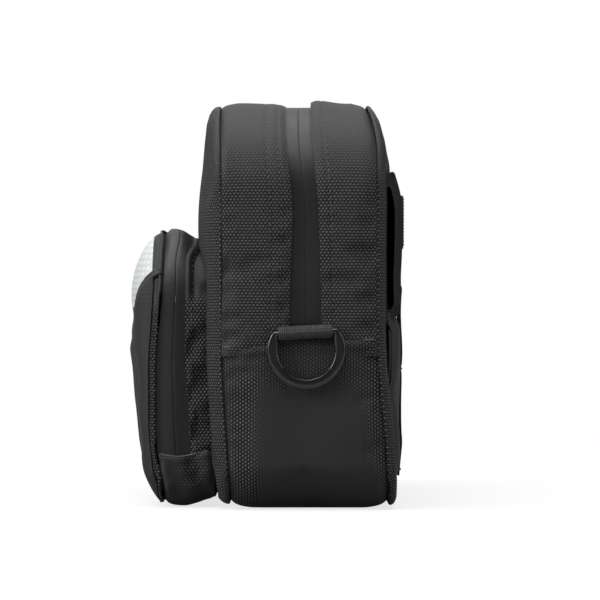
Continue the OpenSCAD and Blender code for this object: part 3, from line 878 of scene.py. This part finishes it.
for side, word in ((-1, "front"), (1, "rear")):
    zip_film(f"zip_film_{word}", BODY, SIDE_S - 4,
             lambda z, side=side: slot_mid(z) - side * FILM_LAP,
             lambda z, side=side: slot_mid(z) + side * (slot_half(z) + 4),
             SHELL + 0.05, f"main_zip_tape_{word}", lambda nz, y: 0.5 * np.maximum(nz, 0) ** 2)


# ---------- main compartment: panels ----------

def panel_surface(outline, seam, flat, side, roll, height):
    """A rounded panel from its seam to its middle. side is -1 for one that bulges to -Y. roll holds
    how far in and how far out the rim turns before the face starts, and flat is where the face lies
    past the lean of its seam."""
    roll_in, roll_out = roll
    rim_share = 0.3     # of b
    middle = (outline.foot + outline.top) / 2

    def surface(a, b):
        s = outline.length * a
        phi = np.clip(b / rim_share, 0, 1) * math.pi / 2
        inset = roll_in * (1 - np.cos(phi)) + 1.0 * np.exp(-phi * 5)
        x, z = outline.at(s + 0 * b, -inset)
        shrink = 1 - TO_MIDDLE * np.clip((b - rim_share) / (1 - rim_share), 0, 1) ** 1.15
        x, z = x * shrink, middle + (z - middle) * shrink
        forward = roll_out * np.sin(phi)
        depth = outline.inside(x, z)
        share = smooth((depth - 10) / 20)
        base = seam(z) * (1 - share) + flat * share
        y = base + side * (forward + height(x, z, depth))
        nx, nz = outline.normal(s)
        around = roll_out - forward
        # Weight of the weave's bump and painted glint on the crowns: it fades towards the top and inwards
        # from the rim.
        relief_and_painted_glint = (0.25 + 1.1 * smooth((165 - z) / 24)) * (1 - 0.55 * smooth((depth - 6) / 8))
        return stack(x, y, z), stack(x + nx * around, z + nz * around, relief_and_painted_glint)
    return surface


def front_height(x, z, depth):
    bulge = 6.6 * BODY.pillow(x, z, 66) * smooth(depth / 8)
    behind_pocket = smooth((128 - z) / 34) * smooth((POCKET_HALF + 14 - np.abs(x)) / 16)
    bulge = bulge * (1 - behind_pocket)
    return bulge + 0.5 * creases(x, z, 60, 21) * smooth(depth / 20) * (1 - behind_pocket)


def back_height(x, z, depth):
    inner = smooth((depth - 6) / 22)
    above_sleeve = bell(z, 161, 7)
    return (1.3 + 1.3 * above_sleeve) * inner + 0.25 * creases(x, z, 50, 23) * inner


def panel(name, node, surface, material, side, thick, rows=400, columns=64, coarse=(140, 16), **more):
    """A padded panel, settled and closed to a disc round its middle."""
    points, cloth = soft_sheet(surface, np.linspace(0, 1, rows + 1), np.linspace(0, 1, columns), coarse,
                               flip=side < 0, calm=0.6, **more)
    piece = slab(name, points[:-1], cloth[:-1], thick, MAT[material], flip=side < 0, wrap=True, edge=0,
                 replaces=[node])


panel("front_face", "front_panel",
      panel_surface(BODY, front_seam, FRONT_SEAM - 1.4, -1, (4.4, 4.6), front_height),
      "shell", -1, SHELL, growth=0.006, push=0.5, cap=1.0)
panel("back_face", "back_panel",
      panel_surface(BODY, rear_seam, REAR_SEAM - 1.1, 1, (4.0, 3.7), back_height),
      "shell", 1, SHELL, growth=0.004, push=0.2, cap=0.6)


def bead(name, places, radius):
    """A thin rolled edge along a line of places, in a paler cloth whose lightness is a painted highlight on
    the fold.
    """
    tangent = np.gradient(places, axis=0)
    tangent /= np.linalg.norm(tangent, axis=1, keepdims=True)
    first = np.cross(tangent, [1.0, 0.0, 0.0])
    first /= np.linalg.norm(first, axis=1, keepdims=True)
    second = np.cross(tangent, first)
    turn = np.linspace(0, 2 * math.pi, 10, endpoint=False)
    girth = radius * np.minimum(1, 0.3 + np.arange(len(places)) / 2)
    girth = np.minimum(girth, girth[::-1])[:, None, None]
    rings = places[:, None] + girth * (first[:, None] * np.cos(turn)[None, :, None]
                                       + second[:, None] * np.sin(turn)[None, :, None])
    sides = len(turn)
    last = (len(places) - 1) * sides
    faces = [(k + j, k + sides + j, k + sides + (j + 1) % sides, k + (j + 1) % sides)
             for k in range(0, last, sides) for j in range(sides)]
    faces += [tuple(range(sides)), tuple(range(last, last + sides))[::-1]]
    cloth = stack(np.arange(len(places))[:, None] * 0.5, turn[None])
    mesh = mesh_from(name, rings.reshape(-1, 3), faces, cloth.reshape(-1, 2))
    add_object(name, mesh, MAT["edge"], slot="binding")


for side, word in ((1, "right"), (-1, "left")):
    y = np.linspace(front_seam(SEAM_Z) + 1.2, rear_seam(SEAM_Z) - 1.2, 120)
    height = SIDE_S + SEAM_LAP + cross_lift(y)
    proud = 0.55 * smooth((y - y[0]) / 5) * smooth((y[-1] - y) / 5)
    x, z = BODY.at(side * height, proud)
    bead(f"cross_seam_{word}", stack(x, y, z), 0.55)


# ---------- front pocket ----------

def pocket_seam(z):
    return POCKET_SEAM - 3.2 * smooth((108 - z) / 45) * smooth((z - 2) / 38)


def pocket_edge(z):
    """Folded edge of the strip behind the pocket's zip."""
    return POCKET_STRIP - 1.45 + 2.6 * smooth((75 - z) / 50) + 3.0 * smooth((z - 117) / 12)


def pocket_mid(z):
    return (pocket_seam(z) + pocket_edge(z)) / 2 + 0.6


def pocket_crown(nz, y):
    """The pocket's top is highest a little behind its seam and falls away towards the body."""
    behind = y - POCKET_SEAM
    fall = np.minimum(0.04 * (behind - 3.5) ** 2, 4.5)
    dome = 2.4 * smooth((behind + 0.8) / 4) * (1 - smooth((behind - 8) / 9))
    return np.maximum(nz, 0) ** 2 * (dome - fall)


def pocket_height(x, z, depth):
    """How far the domed face stands ahead of its seam."""
    high = smooth((z - 45) / 50)
    full = 15.2 + smooth((z - 80) / 25)
    sewn = full * (1 - np.exp(-depth / (20 - 9 * high))) ** (0.7 + 0.1 * high)
    slack = 0.93 * np.maximum(z - POCKET_FOOT, 0.01) ** 0.73 + 0.3
    return sewn * slack / (sewn**6 + slack**6) ** (1 / 6)


def pocket_point(x, z, rise=0.0):
    """A place on the pocket's face, raised along the face's normal."""
    def y_at(px, pz):
        depth = POCKET.inside(px, pz)
        share = smooth((depth - 3) / 18)
        return (pocket_seam(pz) * (1 - share) + POCKET_SEAM * share
                - pocket_height(px, pz, depth) - 0.35 * creases(px, pz, 44, 31) * smooth(depth / 15))
    step = 0.4
    y = y_at(x, z)
    dx = (y_at(x + step, z) - y_at(x - step, z)) / (2 * step)
    dz = (y_at(x, z + step) - y_at(x, z - step)) / (2 * step)
    size = np.sqrt(1 + np.minimum(dx**2 + dz**2, 9))
    return stack(x + rise * dx / size, y - rise / size, z + rise * dz / size)


def pocket_surface(a, b):
    """The pocket's domed face, from its seam to its middle."""
    s = POCKET.length * a
    share = 1 - TO_MIDDLE * b**2.1
    x, z = POCKET.at(s + 0 * b, -0.9 * np.exp(-b * 40))
    middle = (POCKET.foot + POCKET.top) / 2
    x, z = x * share, middle + (z - middle) * share
    points = pocket_point(x, z)
    nx, nz = POCKET.normal(s)
    ahead = np.maximum(pocket_seam(z) - points[..., 1], 0)
    # Painted glint: the pocket face's crowns are painted paler below z 100 to stand in for light from the
    # front.
    relief_and_painted_glint = 0.12 + 1.7 * smooth((100 - z) / 16)
    around = ahead * (1 - smooth((POCKET.inside(x, z) - 6) / 12))
    cloth = stack(x - nx * around, z - nz * around, relief_and_painted_glint)
    turn_in = 1.7 * np.exp(-ahead / 1.3)
    points[..., 0] -= nx * turn_in
    points[..., 2] -= nz * turn_in
    return points, cloth


panel("pocket_face", "pocket_front_panel", pocket_surface, "shell", -1, 1.4, rows=340, columns=50,
      coarse=(120, 14), growth=0.003, push=0.1, cap=0.5)

MOUTH_LOW, MOUTH_RISE = 50.0, 62.0


def mouth(x):
    """Height of the slip pocket's mouth: a shallow scoop that turns up steeply at both sides."""
    rise = 0.64 * (1 - np.cos(math.pi * x / POCKET_HALF)) / 2
    rise = rise + 0.36 * np.exp(-((np.maximum(POCKET_HALF - np.abs(x), 0) / 10) ** 2.65))
    return MOUTH_LOW + MOUTH_RISE * rise


def slip_panel():
    """The slip pocket's layer, sewn in at the sides and foot and free along its mouth."""
    side_inset, foot_inset = 2.3, 1.2
    across = 2 * eased(131, 1.6) - 1
    x0 = (POCKET_HALF - side_inset) * across[None, :]
    t = eased(70, 1.4)[:, None]
    foot = POCKET.foot_at(x0, foot_inset)
    x, z = x0, foot + (mouth(x0) - foot) * t
    for _ in range(14):
        x = across[None, :] * POCKET.side_at(z, side_inset)
        z = 0.5 * z + 0.5 * (foot + (mouth(x) - foot) * t)
    depth = POCKET.inside(x, z)
    puff = 0.45 * smooth(depth / 12) + 0.5 * creases(x, z, 30, 37) * smooth(depth / 14)
    lift = 0.7 + 0.8 * smooth(depth / 6) + puff + 0.5 * np.exp(-((mouth(x) - z) / 9)) * smooth(depth / 4)
    slab("pocket_slip", pocket_point(x, z, lift), stack(x, z), 1.1, MAT["fold"], edge=0.25,
         replaces=["pocket_slip_panel"])


def mouth_binding():
    """Tape folded over the slip pocket's mouth, with a sewn channel down its middle."""
    reach, wide = 94.9, 3.6
    x = reach * (2 * eased(221, 1.5) - 1)
    z = mouth(x)
    dx, dz = np.gradient(x), np.gradient(z)
    size = np.hypot(dx, dz)
    t = np.linspace(0, 1, 17)[:, None]
    away = -0.4 + wide * t
    px, pz = x - dz / size * away, z + dx / size * away
    lift = 1.3 + 1.15 * np.sqrt(np.clip(1 - (2 * t - 1) ** 2, 0, 1)) - 0.5 * bell(t, 0.5, 0.09)
    lift = lift * (1 - 0.35 * smooth((np.abs(x) - 89) / 6))
    along = run_of(np.stack([x, z], 1))
    slab("pocket_mouth_binding", pocket_point(px, pz, lift), stack(along, away), 1.0, MAT["binding"],
         edge=0, replaces=["pocket_slip_binding"], slot="binding")


def reflective_panel():
    """Reflective cloth between the pocket's top seam and the slip pocket."""
    x = 91.0 * (2 * eased(121, 1.5) - 1)[None, :]
    high_z = POCKET.top_at(x, 3.0)
    low_z = np.minimum(np.maximum(95, mouth(x) + 3.0), high_z - 0.5)
    z = low_z + (high_z - low_z) * eased(40, 1.3)[:, None]
    slab("pocket_reflective", pocket_point(x, z, 0.6), stack(x, z), 0.5, MAT["reflective"], edge=0.2,
         replaces=["pocket_reflective_panel"], slot="reflective_fabric")


def badge():
    """Ribbed rubber patch in the dip of the slip pocket's mouth; it carries no mark."""
    half, foot, tall, corner = 15.5, 76.0, 15.0, 3.0
    x = half * (2 * eased(41, 1.4) - 1)[None, :]
    over = np.maximum(np.abs(x) - half + corner, 0)
    round_off = corner - np.sqrt(np.maximum(corner**2 - over**2, 0))
    t = np.linspace(0, 1, 61)[:, None]
    z = foot + round_off + (tall - 2 * round_off) * t
    rim = np.minimum(half - np.abs(x), np.minimum(z - foot, foot + tall - z))
    ribs = 0.55 * np.abs(np.sin(math.pi * (z - foot - 1.5) / 2.4)) ** 0.6 * smooth((rim - 0.9) / 0.8)
    points = pocket_point(x, z, 1.15 + ribs)
    slab("pocket_badge_patch", points, stack(x, z), 0.9, MAT["rubber"], edge=0.3,
         replaces=["pocket_badge"], slot="badge_rubber")


slip_panel()
mouth_binding()
reflective_panel()
badge()

POCKET_SIDE = POCKET.side_s(POCKET_SEAM_Z)


def pocket_upper_surface(a, b):
    """Strip between the pocket's zip and the body, folded in over the shoulders."""
    start = POCKET_SIDE - POCKET_LAP
    s = start + (POCKET.length - 2 * start) * a
    z = POCKET.at(s)[1]
    edge = pocket_edge(z)
    y = edge + (FRONT_Y + POCKET_TUCK - edge) * b
    d = y - edge
    tuck = smooth((z - 94) / 12) * smooth((d - 0.9) / 3.2)
    off = -2.6 * tuck - 0.25 * bell(d, 3.4, 0.8) - 1.1 * np.exp(-(FRONT_Y - y + 2) / 1.6)
    off = off + 0.35 * creases(y, s, 22, 41, 0.7) * smooth(d / 4)
    off = off + pocket_crown(POCKET.normal(s)[1], y)
    x, z = POCKET.at(s + 0 * b, off)
    # The third cloth value is the painted glint on the crowns, stronger below z 104.
    return stack(x, y, z), stack(y, s, 0.1 + 1.7 * smooth((104 - z) / 10))


points, cloth = soft_sheet(pocket_upper_surface, np.linspace(0, 1, 300), eased(22, 1.5), (90, 8),
                           growth=0.02, push=0.3, cap=0.9)
slab("pocket_gusset_strip", points, cloth, POCKET_SHELL, MAT["shell"], edge=0.5,
     replaces=["pocket_upper_gusset"])
stitch_row("pocket_gusset_stitching", points[4:-4, 6], grid_normals(points)[4:-4, 6])


def pocket_sag(y):
    """How far the seam across the pocket's side hangs below its height at the back."""
    return 3.6 * bell(y, POCKET_SEAM + 7, 12)


def pocket_lower_surface(a, b):
    """Lower sides and foot of the pocket, in one piece."""
    s = (POCKET_SIDE + SEAM_LAP) * (2 * a - 1)
    z = POCKET.at(s)[1]
    front = pocket_seam(z)
    y = front + (FRONT_Y + POCKET_TUCK - front) * b
    d_front, d_rear = y - front, FRONT_Y - y
    edge_s = POCKET_SIDE - pocket_sag(y)
    s = s - np.sign(a - 0.5) * pocket_sag(y) * smooth(2 * np.abs(a - 0.5) * 3 - 2)
    z = POCKET.at(s)[1]
    nz = POCKET.normal(s)[1]
    off = -(0.9 + 1.2 * np.maximum(-nz, 0)) * np.exp(-d_front / 2.2)
    off = off - 3.0 * np.maximum(-nz, 0) * smooth((y - FRONT_Y + 13) / 13)
    free = smooth(d_front / 4) * smooth((d_rear + 3) / 5) * (1 - 0.6 * nz**2)
    off = off + 0.9 * creases(y, s, 15, 47, 0.9) * free
    off = off + 0.75 * smooth((np.abs(s) - edge_s + 3.2) / 3)
    x, z = POCKET.at(s, off)
    # Painted glint: a patch of paler crowns low down towards the back of the pocket's side.
    relief_and_painted_glint = 0.15 + 0.95 * bell(y, FRONT_Y - 9, 5) * bell(z, 18, 8)
    return stack(x, y, z), stack(y, s, relief_and_painted_glint)


points, cloth = soft_sheet(pocket_lower_surface, eased(200, 1.3), eased(36, 1.3), (90, 10),
                           growth=0.03, push=0.6, cap=1.1)
slab("pocket_gusset_lower", points, cloth, POCKET_SHELL, MAT["shell"], edge=0.6,
     replaces=["pocket_lower_gusset"])


def film_swell(nz, y):
    """The pocket's film bows outwards between its seam and the strip."""
    return pocket_crown(nz, y) + 1.1 * bell(y, POCKET_SEAM + 4.5, 5.5) * (1 - np.maximum(nz, 0))


zip_film("pocket_film_front", POCKET, POCKET_SIDE - POCKET_LAP, lambda z: pocket_mid(z) + FILM_LAP,
         lambda z: pocket_seam(z) - 0.4, 1.35, "pocket_zip_tape_front", film_swell)
zip_film("pocket_film_rear", POCKET, POCKET_SIDE - POCKET_LAP, lambda z: pocket_mid(z) - FILM_LAP,
         lambda z: pocket_edge(z) + 1.6, 1.35, "pocket_zip_tape_rear", film_swell)

for side, word in ((1, "right"), (-1, "left")):
    y = np.linspace(pocket_seam(POCKET_SEAM_Z) + 1.2, FRONT_Y - POCKET_TUCK, 70)
    height = POCKET_SIDE + SEAM_LAP - pocket_sag(y)
    x, z = POCKET.at(side * height, 0.3 * smooth((y - y[0]) / 4))
    bead(f"pocket_seam_{word}", stack(x, y, z), 0.5)


# ---------- back: pad, sleeve and straps ----------

PAD_LOW, PAD_HIGH = low("back_pad"), high("back_pad")
PAD = Outline(PAD_HIGH[0], PAD_LOW[2], low("back_sleeve")[2] + 4.5, 13, 8)
PAD_SEAM = BACK_Y - 1.2


def pad_height(x, z, depth):
    rise = (PAD_HIGH[1] - PAD_SEAM - 0.4) * (1 - np.exp(-depth / 3.2)) ** 0.8
    return rise + 0.4 * creases(x, z, 55, 53) * smooth(depth / 12)


def pad_seam(z):
    return PAD_SEAM + 0 * z


panel("back_cushion", "back_pad", panel_surface(PAD, pad_seam, PAD_SEAM, 1, (0.4, 0.4), pad_height),
      "back_cloth_painted_light", 1, 1.2, rows=260, columns=40, coarse=(110, 14), growth=0.006, push=0.8, cap=1.2)


def section_tube(outer, inner, x):
    """A hollow section in the YZ plane, run along X and closed at both ends between the two loops."""
    loop = np.concatenate([outer, inner[::-1]])
    count, columns = len(loop), len(x)
    points = np.zeros((count, columns, 3))
    points[..., 0] = x[None, :]
    points[..., 1:] = loop[:, None]
    steps = np.hypot(*np.diff(np.vstack([loop, loop[:1]]), axis=0).T)
    along = np.concatenate([[0], np.cumsum(steps)[:-1]])
    faces = grid_faces(count, columns, 0, True, True)
    half = len(outer)
    for k in range(half - 1):
        a, b = k * columns, (k + 1) * columns
        c, d = (count - 2 - k) * columns, (count - 1 - k) * columns
        faces.append((a, b, c, d))
        faces.append(tuple(v + columns - 1 for v in (d, c, b, a)))
    cloth = stack(x[None, :], along[:, None])
    return points, faces, cloth.reshape(-1, 2)


SLEEVE_LOW, SLEEVE_HIGH = low("back_sleeve"), high("back_sleeve")


def sleeve_face(z):
    """Y of the sleeve's outer face at height z."""
    full = SLEEVE_HIGH[1] - 1.2
    top = 3.4 * smooth((z - 139) / 21) ** 1.4
    sag = 0.35 * bell(z, 109, 6) + 1.6 * smooth((SLEEVE_LOW[2] + 7 - z) / 7) ** 1.5
    return full - top - sag


def rounded_path(path, count):
    """An open path resampled evenly and with its corners eased."""
    path = np.array(path, float)
    for _ in range(2):
        cut = np.stack([0.75 * path[:-1] + 0.25 * path[1:], 0.25 * path[:-1] + 0.75 * path[1:]], 1)
        path = np.concatenate([path[:1], cut.reshape(-1, path.shape[1]), path[-1:]])
    along = run_of(path)
    return along_line(along, path, np.linspace(0, along[-1], count))


def sleeve():
    """The belt sleeve, a flat hollow open at both ends, with a stitch row along its top and foot."""
    low_z, high_z = SLEEVE_LOW[2], SLEEVE_HIGH[2]
    seat, thick = BACK_Y - 0.6, 3.3
    heights = np.linspace(low_z + 4, high_z - 4, 12)
    outer = [(seat, low_z + 0.4), (sleeve_face(low_z) - 0.8, low_z)]
    outer += [(sleeve_face(z), z) for z in heights]
    outer += [(sleeve_face(high_z) - 0.3, high_z), (seat + 2.4, high_z), (seat, high_z - 1.6)]
    inner = [(seat, low_z + 3.4), (seat + 1.5, low_z + 3.5)]
    inner += [(sleeve_face(z) - thick, z) for z in np.linspace(low_z + 6, high_z - 10, 12)]
    inner += [(seat + 2.2, high_z - 7.4), (seat + 1.2, high_z - 7), (seat, high_z - 7.2)]
    x = SLEEVE_HIGH[0] * (2 * eased(61, 1.3) - 1)
    points, faces, cloth = section_tube(rounded_path(outer, 90), rounded_path(inner, 90), x)
    wave = 0.4 * creases(points[..., 0], points[..., 2], 60, 59)
    points[..., 1] += wave * smooth((points[..., 1] - BACK_Y - 1) / 3)
    mesh = mesh_from("sleeve_panel", points.reshape(-1, 3), faces, cloth)
    piece = add_object("sleeve_panel", mesh, MAT["back_cloth_painted_light"], replaces=["back_sleeve"])
    soften(piece, 0.5)
    for number, z in enumerate((SLEEVE_LOW[2] + 3, SLEEVE_HIGH[2] - 6.5)):
        line = stack(x, sleeve_face(z) + 0.05, z)
        stitch_across(f"sleeve_stitching_{number + 1}", line)


sleeve()


def webbing(name, node, path, across, thick=WEB_T, width=WEB_W, flip=False, rib=0.1, pitch=1.05):
    """Flat webbing of real ribs: path is its outer face's middle line, across the way of its width."""
    along = run_of(path)
    s = np.linspace(0, along[-1], int(along[-1] / (pitch / 4)))
    middle = along_line(along, path, s)
    across = np.array(across, float)
    t = eased(15, 1.3) * 2 - 1
    normal = np.cross(across, np.gradient(middle, axis=0)) * (-1 if flip else 1)
    normal /= np.linalg.norm(normal, axis=1, keepdims=True)
    lift = rib * np.abs(np.sin(math.pi * s / pitch))[:, None] - 0.25 * np.abs(t[None]) ** 8
    points = middle[:, None] + across * (t * width / 2)[None, :, None] + normal[:, None] * lift[..., None]
    slab(name, points, stack((t * width / 2)[None], s[:, None]), thick, MAT["webbing"], flip=flip,
         edge=0.2, replaces=[node], slot="webbing")


def sleeve_webbing():
    """The level row of webbing on the sleeve, tacked down at even steps."""
    box_low, box_high = low("sleeve_webbing"), high("sleeve_webbing")
    x = np.linspace(box_low[0], box_high[0], 120)
    z = (box_low[2] + box_high[2]) / 2
    pockets = 0.25 * np.abs(np.sin(math.pi * (x - box_low[0]) / 46)) ** 0.7
    y = sleeve_face(z) + WEB_T + 0.1 + pockets - 0.5 * bell(np.abs(x), box_high[0], 1.2)
    webbing("sleeve_webbing_row", "sleeve_webbing", stack(x, y, z), (0, 0, -1), flip=True, pitch=1.1)
    for number, x0 in enumerate(np.linspace(box_low[0] + 1.5, box_high[0] - 1.5, 5)):
        height = np.linspace(box_low[2] + 1, box_high[2] - 1, 20)
        y0 = np.interp(x0, x, y) + 0.1
        for twin in (-0.7, 0.7):
            line = stack(x0 + twin, y0, height)
            stitch_across(f"sleeve_tack_{number + 1}_{'a' if twin < 0 else 'b'}", line, pitch=1.5,
                          thread=0.28)


sleeve_webbing()


def back_strap(name, node):
    """An upright strap over the pad, slack between its tacks."""
    box_low, box_high = low(node), high(node)
    x = (box_low[0] + box_high[0]) / 2
    top, foot = box_high[2], box_low[2]
    heights = np.array([top - 0.2, top - 1.2, 99, 92, 85, 76, 68, 65.5, 63, 50, 36, 30, 24, foot])
    proud = np.array([-1.6, 0.55, 0.0, -0.25, 0.0, 0.55, 0.4, -0.3, 0.3, -0.1, 0.0, 0.55, -0.1, -1.0])
    path = rounded_path(stack(x, box_high[1] - 1.55 + proud, heights), 160)
    webbing(name, node, path, (1, 0, 0))
    for number, z in enumerate((65.5, foot + 3)):
        across = np.linspace(x - WEB_W / 2 + 1, x + WEB_W / 2 - 1, 24)
        y = np.interp(-z, -path[:, 2], path[:, 1])
        stitch_across(f"{name}_tack_{number + 1}", stack(across, y + 0.15, z), pitch=1.3, thread=0.4)


back_strap("upright_strap_right", "back_strap_right")
back_strap("upright_strap_left", "back_strap_left")


def base_strap():
    box_low, box_high = low("base_strap"), high("base_strap")
    x = np.linspace(box_low[0], box_high[0], 90)
    y = (box_low[1] + box_high[1]) / 2
    webbing("base_webbing", "base_strap", stack(x, y, 0.12), (0, 1, 0), 1.1, box_high[1] - box_low[1],
            pitch=1.3)


base_strap()


# ---------- D-rings and their tabs ----------

def at_ring(side, out, y, z):
    """Puts a place made at the bar's middle on the right side of the bag, or mirrored on the left."""
    c, s = math.cos(RING_TILT), math.sin(RING_TILT)
    ring_x = (RING_LOW[0] + RING_HIGH[0]) / 2
    return stack(side * (ring_x + out), RING_Y + y * c - z * s, RING_Z + y * s + z * c)


def d_ring(name, side, node, body):
    """A flat moulded band bent to a D; its bar is a round rod. band and thick are half its width
    and half its thickness."""
    outer_r, bow_z, corner, corner_z = 18.2, -8.4, 9.0, -7.2
    band, thick = 2.35, 1.7
    bow = np.radians(np.linspace(180, 360, 72))
    turn = np.radians(np.linspace(0, 90, 24))
    r, cr = outer_r - band, corner - band
    half_top = outer_r - corner
    bar = np.linspace(half_top, -half_top, 40)[1:-1]
    path = np.concatenate([
        np.stack([r * np.cos(bow), bow_z + r * np.sin(bow)], 1),
        np.stack([half_top + cr * np.cos(turn), corner_z + cr * np.sin(turn)], 1),
        np.stack([bar, corner_z + cr + 0 * bar], 1),
        np.stack([-half_top - cr * np.sin(turn), corner_z + cr * np.cos(turn)], 1)])
    on_bar = smooth((15.8 - np.abs(path[:, 0])) / 2.3) * (path[:, 1] > -6.4)
    tangent = np.roll(path, -1, 0) - np.roll(path, 1, 0)
    tangent /= np.linalg.norm(tangent, axis=1, keepdims=True)
    normal = np.stack([tangent[:, 1], -tangent[:, 0]], 1)
    path[:, 1] *= 1 - on_bar
    half_a = band + (BAR_R - band) * on_bar
    half_b = thick + (BAR_R - thick) * on_bar
    angle = np.linspace(0, 2 * math.pi, 28, endpoint=False)
    power = (0.42 + 0.58 * on_bar)[:, None]
    ca = np.sign(np.cos(angle)) * np.abs(np.cos(angle)) ** power
    sa = np.sign(np.sin(angle)) * np.abs(np.sin(angle)) ** power
    y = path[:, :1] + normal[:, :1] * half_a[:, None] * ca
    z = path[:, 1:] + normal[:, 1:] * half_a[:, None] * ca
    points = at_ring(side, half_b[:, None] * sa, y, z)
    rows, columns = points.shape[:2]
    faces = []
    for i in range(rows):
        for j in range(columns):
            k, n = (i + 1) % rows, (j + 1) % columns
            face = (i * columns + j, i * columns + n, k * columns + n, k * columns + j)
            faces.append(face if side > 0 else face[::-1])
    add_object(name, mesh_from(name, points.reshape(-1, 3), faces), MAT["ring"], replaces=[node], body=body,
               slot="ring_plastic")


def ring_tab(name, side, node):
    """Webbing looped over the bar, its plies sewn into the side seam."""
    arc = np.radians(np.linspace(-62, 180, 40))
    foot = -(RING_Z - SEAM_Z) - 0.8
    loop = np.stack([TAB_R * np.cos(arc), TAB_R * np.sin(arc)], 1)
    drop = np.linspace(0, foot, 22)[1:]
    ply = np.stack([-TAB_R + 0 * drop, drop], 1)
    path = np.concatenate([loop, ply])
    points = at_ring(side, path[:, 0], 0 * path[:, 0], path[:, 1])
    tilt = (0, math.cos(RING_TILT), math.sin(RING_TILT))
    webbing(name, node, points, tilt, 1.05, flip=side < 0, rib=0.13, pitch=1.15)


for side, word in ((1, "right"), (-1, "left")):
    d_ring(f"ring_{word}", side, f"d_ring_{word}", f"{word}_ring")
    ring_tab(f"tab_{word}", side, f"ring_tab_{word}")


# ---------- CAD nodes that stay ----------

def finish_nodes(material, *names, edge=0.0):
    """Gives pieces that come straight from the CAD their material, and softens moulded edges."""
    for name in names:
        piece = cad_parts[name]
        piece.data.materials.clear()
        piece.data.materials.append(MAT[material])
        if edge:
            soften(piece, edge, 2, 35)


finish_nodes("metal", "main_slider_right", "main_slider_left", "main_pull_right", "main_pull_left",
             "pocket_slider", "pocket_pull", edge=0.22)
finish_nodes("grip", "main_grip_right", "main_grip_left", "pocket_grip", edge=0.6)
finish_nodes("coil", "main_zip_coils", "pocket_zip_coils")
finish_nodes("foam", "front_foam", "back_foam", "pocket_foam")
finish_nodes("board", "back_board", "base_board")
finish_nodes("lining", "front_lining", "back_lining", "gusset_lining")
finish_nodes("binding", "front_seam_binding", "rear_seam_binding")
